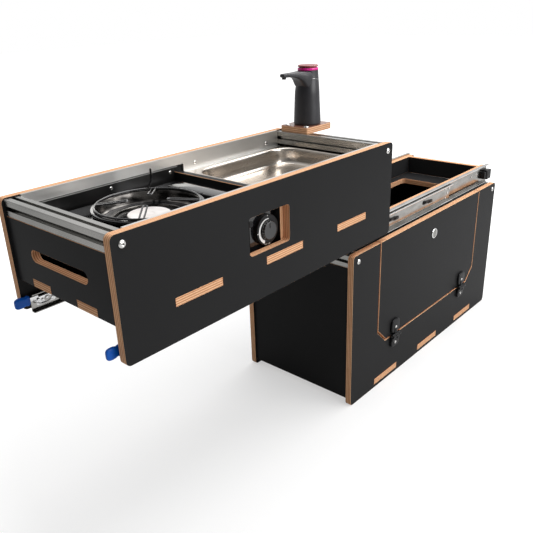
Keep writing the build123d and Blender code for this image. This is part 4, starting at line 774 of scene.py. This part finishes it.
def make_sink():
    """Sink pan: rounded rectangles stacked from the floor's middle up the drafted wall, over the rolled mouth and
    flange, and back down the underside."""
    middle = np.array([-0.1115, MIDDLE_Y])
    inside = [(0.002, 0.002, 0.001, 0.5453), (0.06, 0.045, 0.02, 0.5453), (0.133, 0.102, 0.045, 0.5455),
              (0.1365, 0.1055, 0.047, 0.5462), (0.139, 0.108, 0.049, 0.5462), (0.143, 0.112, 0.05, 0.5472),
              (0.1462, 0.1152, 0.0515, 0.5497), (0.1478, 0.1168, 0.0525, 0.5535), (0.1492, 0.1182, 0.0545, 0.565),
              (0.1506, 0.1196, 0.056, 0.579), (0.1512, 0.1202, 0.0565, 0.5822), (0.1525, 0.1215, 0.058, 0.5841),
              (0.1545, 0.1235, 0.058, 0.5849), (0.16, 0.13, 0.02, 0.585), (0.1618, 0.1318, 0.01, 0.5849),
              (0.1625, 0.1325, 0.0095, 0.5844)]
    under = [(0.1625, 0.1325, 0.0095, 0.5832), (0.16, 0.13, 0.012, 0.5838), (0.1545, 0.1235, 0.058, 0.5838),
             (0.1532, 0.1222, 0.058, 0.5828), (0.15, 0.119, 0.056, 0.5535), (0.148, 0.117, 0.054, 0.549),
             (0.144, 0.113, 0.05, 0.546), (0.138, 0.107, 0.048, 0.5448), (0.002, 0.002, 0.001, 0.5441)]
    piece("sink_pressing", [stack(inside + under, middle, 12)], sink_steel, "sink_pan", ("sink_pan",),
          50)


def make_tap():
    """Tap: round levels stacked along a line that leans back at the neck, a spout of superellipses whose
    underside sinks into the body by an eased curve, and a seam whose height follows a cosine round the neck."""
    z = np.linspace(PLATE_TOP, 0.7608, 60)
    radius, lean = eased(z, [(0.634, 0.0333, 0.098), (0.655, 0.0324, 0.098), (0.69, 0.0308, 0.098),
                             (0.715, 0.0298, 0.0985), (0.735, 0.027, 0.101), (0.745, 0.0255, 0.102),
                             (0.761, 0.0247, 0.102)], 9)
    radius[0], radius[1] = radius[0] - 0.0016, radius[1] - 0.0003
    angle = full_turn(64)
    rows = np.stack([lean[:, None] + radius[:, None] * np.cos(angle), TAP_Y + radius[:, None] * np.sin(angle),
                     z[:, None] + 0 * angle], -1)
    well = np.stack([np.stack([TAP_X + r * np.cos(angle), TAP_Y + r * np.sin(angle), h + 0 * angle], -1)
                     for r, h in ((0.0243, 0.761), (0.0219, 0.761), (0.0219, 0.755), (0.001, 0.755))])
    parts = [skin(np.concatenate([rows, well]))]
    x = np.concatenate([[0.005, 0.0053, 0.006, 0.0072], np.linspace(0.009, 0.1, 60)])
    top, low, half = eased(x, [(0.005, 0.7606, 0.752, 0.0072), (0.03, 0.7604, 0.7508, 0.0092),
                               (0.048, 0.7602, 0.7478, 0.0128), (0.06, 0.7604, 0.7415, 0.0165),
                               (0.069, 0.7606, 0.731, 0.0195), (0.076, 0.7608, 0.72, 0.0215),
                               (0.1, 0.7608, 0.72, 0.0238)], 7)
    tip = np.interp(x, [0.005, 0.006, 0.0085, 0.012], [0.62, 0.86, 0.98, 1.0])
    t = full_turn(40)
    across, up = (powered(f(t), 0.45) for f in (np.cos, np.sin))
    height, middle = (top - low) / 2 * tip, (top + low) / 2
    parts.append(skin(np.stack([x[:, None] + 0 * t, TAP_Y + (half * tip)[:, None] * across,
                                middle[:, None] + height[:, None] * up], -1)))
    nozzle = rounded([(0.0038, 0.752), (0.005, 0.752), (0.005, 0.7476), (0.004, 0.7476), (0.0036, 0.752)],
                     0.0005, 3, looped=True)
    parts.append(turned(nozzle, (0.013, TAP_Y, 0), "up", 32, looped=True))
    piece("tap_shell_moulding", parts, tap_shell, "unit", ("tap_body",), 50)
    turn = full_turn(96)
    seam_z = 0.7395 - 0.005 * np.cos(turn - np.radians(20))
    reach = np.interp(seam_z, z, radius) + 0.0001
    seam = np.stack([np.interp(seam_z, z, lean) + reach * np.cos(turn), TAP_Y + reach * np.sin(turn), seam_z], -1)
    piece("tap_neck_seam", [carried(seam, circle(0.00035, 8), (0, 0, 1), looped=True)], chrome, "unit", ())


def make_tap_button():
    """Ring and cap turned about the tap's head."""
    ring = rounded([(0.0219, 0.761), (0.0244, 0.761), (0.0249, 0.7625), (0.0249, 0.765), (0.0243, 0.7664),
                    (0.0219, 0.7665)], 0.0012, 4, looped=True)
    piece("tap_light_ring", [turned(ring, (TAP_X, TAP_Y, 0), "up", 72, looped=True)], magenta_ring, "unit",
          ("tap_ring",))
    cap = rounded([(0, 0.7576), (0.0214, 0.7576), (0.0215, 0.7688), (0.0242, 0.7688), (0.0248, 0.7697),
                   (0.0246, 0.7715), (0.0226, 0.7729), (0.012, 0.7727), (0, 0.7725)], 0.001, 4)
    piece("tap_cap", [turned(cap, (TAP_X, TAP_Y, 0), "up", 72)], brown_cap, "tap_button", ("tap_button",))


def grip(low, high):
    """Pillow grip: superellipse sections along X whose height is waisted two thirds of the way along by a bell
    curve and which close at both ends by (1 - |x|^4)^(1/4)."""
    low, high = np.array(low), np.array(high)
    half, middle = (high - low) / 2, (high + low) / 2
    u = np.linspace(0, np.pi, 25)
    x = -powered(np.cos(u), 0.6)
    close = np.clip(1 - np.abs(x) ** 4, 0, 1) ** 0.25
    waist = 1 - 0.2 * np.exp(-(((x - 0.28) / 0.22) ** 2))
    v = full_turn(28)
    across, up = (powered(f(v), 0.6) for f in (np.cos, np.sin))
    return skin(np.stack([middle[0] + half[0] * x[:, None] + 0 * v,
                          middle[1] + half[1] * close[:, None] * across,
                          middle[2] + half[2] * (close * waist)[:, None] * up], -1))


def make_levers():
    """Slide levers: pillow grip, bright arm with a folded edge, rivet heads and a return wire."""
    handle = [grip((-0.691, -0.1386, 0.418), (-0.661, -0.1306, 0.439))]
    arm = [pad((-0.676, -0.1359, 0.424), (-0.644, -0.1339, 0.4325), 1, 0.003, 0.0006),
           pad((-0.65, -0.1359, 0.412), (-0.611, -0.1339, 0.4285), 1, 0.004, 0.0006)]
    heads = [turned(rounded([(0, 0), (0.0033, 0), (0.0033, 0.0016), (0.0026, 0.0023), (0, 0.0024)], 0.0006, 4),
                    (x, -0.1341, z), "back", 6 if nut else 20)
             for x, z, nut in ((-0.6455, 0.4235, True), (-0.637, 0.4205, False), (-0.6285, 0.4225, True),
                               (-0.619, 0.4185, False))]
    wire = rounded([(x, -0.1326, z) for x, z in ((-0.654, 0.425), (-0.646, 0.415), (-0.63, 0.4138),
                                                 (-0.62, 0.419))], 0.006, 8)
    heads.append(carried(wire, circle(0.0009, 8), (0.1, 1, 0.1)))
    for side, placed in (("front", list), ("back", mirrored)):
        piece("lever_grip_" + side, placed(handle), blue_grip, side + "_lever", ("slide_lever_grip_" + side,),
              60)
        piece("lever_arm_" + side, placed(arm + heads), chrome, side + "_lever", ("slide_lever_arm_" + side,))


def on_both_sides(name, parts, maker, body, stands_for):
    """One piece of the front slide's skins and their mirror images on the back slide."""
    piece(name, parts + mirrored(parts), maker, body, stands_for)


def make_ball_cages():
    """Thin strips with a ball, by its polar angles, every 5.2 mm."""
    down, turn = np.linspace(0, np.pi, 5)[:, None], full_turn(6)
    ball = skin(0.0012 * np.stack([np.sin(down) * np.cos(turn), np.sin(down) * np.sin(turn),
                                   np.cos(down) + 0 * turn], -1))
    cages = []
    for start, end, near, far, heights in ((-0.253, 0.027, -0.1371, -0.1331, (0.43735, 0.39845)),
                                           (-0.033, 0.417, -0.1336, -0.1296, (0.4412, 0.3946))):
        for z in heights:
            strip = pad((start, near + 0.0012, z - 0.0004), (end, far, z + 0.0004), 2, 0.0009, 0.0002)
            along = start + 0.006 + BALL_STEP * np.arange(int((end - start - 0.01) / BALL_STEP))
            cages += [strip, repeated(ball, np.column_stack(np.broadcast_arrays(along, near + 0.0014, z)))]
    on_both_sides("ball_cages", cages, slide_steel, "slide_middles", ("slide_ball_cages",))


def make_latches():
    """Latches: three rounded blocks and a turned stud each."""
    near, far = -0.1331, -0.1311
    latches = []
    stud = rounded([(0, 0), (0.0042, 0), (0.0042, 0.0015), (0.003, 0.0022), (0, 0.0022)], 0.0005, 4)
    for start in LATCHES:
        latches += [pad((start + left, near, bottom), (start + right, far, top), 1, corner, 0.0005)
                    for left, right, bottom, top, corner in ((0.0, 0.034, 0.4165, 0.4235, 0.0022),
                                                             (0.024, 0.048, 0.4139, 0.4214, 0.003),
                                                             (0.001, 0.013, 0.419, 0.4259, 0.0028))]
        latches.append(turned(stud, (start + 0.038, far, 0.418), "front", 24))
    on_both_sides("latch_mouldings", latches, black_nylon, "slide_middles", ("slide_latches",))


def make_stampings():
    """Lip rolls along the slides' edges, and the rings and tabs stamped into the middle members."""
    ring = rounded([(0.0052, 0), (0.0072, 0), (0.0068, 0.0008), (0.0055, 0.0008)], 0.0003, 3, looped=True)
    stampings = [turned(ring, (start + x, -0.1296, 0.4179), "front", 24, looped=True)
                 for start in LATCHES for x in (-0.014, 0.064)]
    for x, bottom, top in ((0.4085, 0.426, 0.4345), (0.42, 0.413, 0.421), (0.43, 0.424, 0.433),
                           (0.4085, 0.4015, 0.4085)):
        stampings.append(pad((x, -0.1326, bottom), (x + 0.0045, -0.1292, top), 0, 0.0012, 0.0005))

    def rolls(start, end, y, heights):
        """Round rolls along X at some heights."""
        return [carried(np.column_stack([np.linspace(start, end, 4), np.full(4, y), np.full(4, z)]),
                        circle(0.0014, 8), (0, 0, 1)) for z in heights]

    stampings += rolls(-0.2605, 0.4345, -0.1402, (0.3972, 0.4386))
    on_both_sides("channel_lip_rolls", rolls(-0.0505, 0.6825, -0.1326, (0.3928, 0.443)), chrome, "cabinet", ())
    on_both_sides("middle_stampings", stampings, chrome, "slide_middles", ())


def make_bumpers():
    """End bumpers: a foot, a block and a rib, all with quarter-round edges."""
    bumper = [pad((0.648, -0.1372, 0.405), (0.662, -0.1262, 0.426), 1, 0.0025, 0.001),
              pad((0.66, -0.1392, 0.4015), (0.6895, -0.1262, 0.4295), 1, 0.003, 0.0014),
              pad((0.664, -0.1396, 0.412), (0.685, -0.138, 0.419), 1, 0.002, 0.0006)]
    on_both_sides("bumper_mouldings", bumper, black_nylon, "cabinet", ("slide_bumpers",))


def make_hinges():
    """Surface hinges: domed leaves with large outer corners, and knuckles turned along X."""
    axis_y, axis_z = -0.16555, 0.119
    wing_face, wing_seat = -0.1668, FRONT_Y - 0.0002
    upper, lower = [], []
    for x in (0.1045, 0.4745):
        upper.append(pad((x, LEAF_FACE, 0.1262), (x + 0.037, FRONT_Y, 0.1635), 1, 0.013, 0.0024))
        upper.append(pad((x + 0.0122, wing_face, 0.119), (x + 0.0248, wing_seat, 0.14), 1, 0.003, 0.002))
        lower.append(pad((x, LEAF_FACE, 0.086), (x + 0.037, FRONT_Y, 0.1118), 1, 0.011, 0.0024))
        for start in (x, x + 0.0253):
            lower.append(pad((start, wing_face, 0.103), (start + 0.0117, wing_seat, 0.119), 1, 0.003, 0.002))
            lower.append(turned(peg(0.0058, 0.0117, 0.001, 4), (start, axis_y, axis_z), "right", 40))
        upper.append(turned(peg(0.0058, 0.0124, 0.001, 4), (x + 0.0123, axis_y, axis_z), "right", 40))
    piece("hinge_upper_mouldings", upper, black_nylon, "flap", ("hinge_upper_leaves",))
    piece("hinge_lower_mouldings", lower, black_nylon, "cabinet", ("hinge_lower_leaves",))


def make_lock():
    """Flap lock: ring, stem and nut as one turned profile, and a thin black strip on the barrel's face, painted shade
    of the keyway slot.
    """
    seat = np.array([0.308, FRONT_Y, 0.339])
    ring = rounded([(0.00755, 0.001), (0.01055, 0.001), (0.01055, 0.0022), (0.0121, 0.0022), (0.0136, 0.0012),
                    (0.0136, 0.0), (0.0095, 0.0), (0.0095, -0.015), (0.013, -0.015), (0.013, -0.02),
                    (0.00755, -0.02)], 0.0004, 4, looped=True)
    piece("lock_ring_turning", [turned(ring, seat, "front", 72, looped=True)], chrome, "flap", ("lock_housing",))
    # Painted shade: a thin black strip on the barrel's face stands for the shade inside the keyway slot.
    slot_shade_strip = pad(seat - (0.0011, 0.0016, 0.0092), seat + (0.0011, -0.0009, 0.0092), 1, 0.0004, 0.0001)
    piece("keyway_painted_shade", [slot_shade_strip], black_nylon, "lock", ())


def make_bolts():
    """Corner bolts, tap bolts and small screws, all domed heads with hex or cross sockets."""
    def button(seat, facing, reach=0.0345):
        """Button head with a hex socket."""
        return bolt(seat, facing, 0.0065, 0.0033, 0.003, reach, 0.0023)

    def buttons(across, z):
        """Button heads through both long boards."""
        return [button((x, y, z), facing) for x in across
                for y, facing in ((FRONT_Y, "front"), (2 * MIDDLE_Y - FRONT_Y, "back"))]

    def screws(across, sides, z, head=0.004, rise=0.0012):
        """Small cross-head screws on one or more sides."""
        return [bolt((x, y, z), facing, head, rise, 0.0016, 0.011, 0.0017, 4, 40) for x in across
                for y, facing in sides]

    def heads(name, parts, body):
        """One piece of steel heads, named with the node that it replaces."""
        piece(name[0], parts, bolt_steel, body, name[1:])

    plate_y = (0.0685, 0.12545)
    tap_bolts = [button((0.057, y, PLATE_TOP), "up", 0.02) for y in plate_y]
    nuts = [pad((0.0511, y - 0.0059, 0.6141), (0.0629, y + 0.0059, 0.6169), 2, 0.0012, 0.0004) for y in plate_y]
    heads(("cabinet_corner_bolts", "cabinet_bolts"), buttons((-0.047, 0.663), 0.3754), "cabinet")
    heads(("unit_corner_bolts", "unit_bolts"), buttons((-0.653, 0.057), 0.604) + tap_bolts + nuts, "unit")
    hinges, leaf = (0.123, 0.493), ((LEAF_FACE, "front"),)
    heads(("cabinet_screw_heads", "cabinet_screws"),
          screws((-0.002, 0.033, 0.583, 0.618), ((-0.1263, "front"), (0.136, "back")), WEB_SCREW_Z)
          + screws(hinges, leaf, 0.097, 0.0042, 0.0013) + screws((0.2995, 0.3165), ((-0.1215, "down"),), 0.3732),
          "cabinet")
    heads(("flap_screw_heads", "flap_screws"), screws(hinges, leaf, 0.141, 0.0042, 0.0013), "flap")
    heads(("unit_screw_heads", "unit_screws"),
          screws((-0.608, -0.573, -0.023, 0.012), ((-0.1419, "back"), (0.1515, "front")), WEB_SCREW_Z)
          + screws((-0.603, -0.453, -0.303), ((0.1519, "front"),), 0.588)
          + screws((-0.2343, -0.001), ((-0.1384, "back"), (0.148, "front")), 0.597), "unit")


FINISHES = {
    rail_aluminium: ("cabinet_left_rail", "cabinet_right_rail", "unit_left_rail", "unit_right_rail"),
    band_aluminium: ("edge_bands", "sink_ledges"),
    slide_steel: ("slide_channel_front", "slide_channel_back", "slide_middle_members", "slide_inner_front",
                  "slide_inner_back", "lock_keeper", "lock_cam", "lock_barrel"),
    bolt_steel: ("hinge_pins",),
    satin_black: ("heat_shield",),
    black_enamel: ("stove_body",),
}


def dress_nodes():
    """Gives every node of the model that still shows its material."""
    for maker, names in FINISHES.items():
        for name in names:
            for slot in nodes[name].material_slots:
                slot.material = material(maker)


for make in (make_boards, make_bowl, make_burner, make_pan_support, make_cartridge_lid, make_knob, make_knob_seat_and_painted_highlight,
             make_gas_lever, make_sink, make_tap, make_tap_button, make_levers, make_ball_cages, make_latches,
             make_stampings, make_bumpers, make_hinges, make_lock, make_bolts, dress_nodes):
    make()

bpy.context.scene.view_settings.view_transform = "Standard"
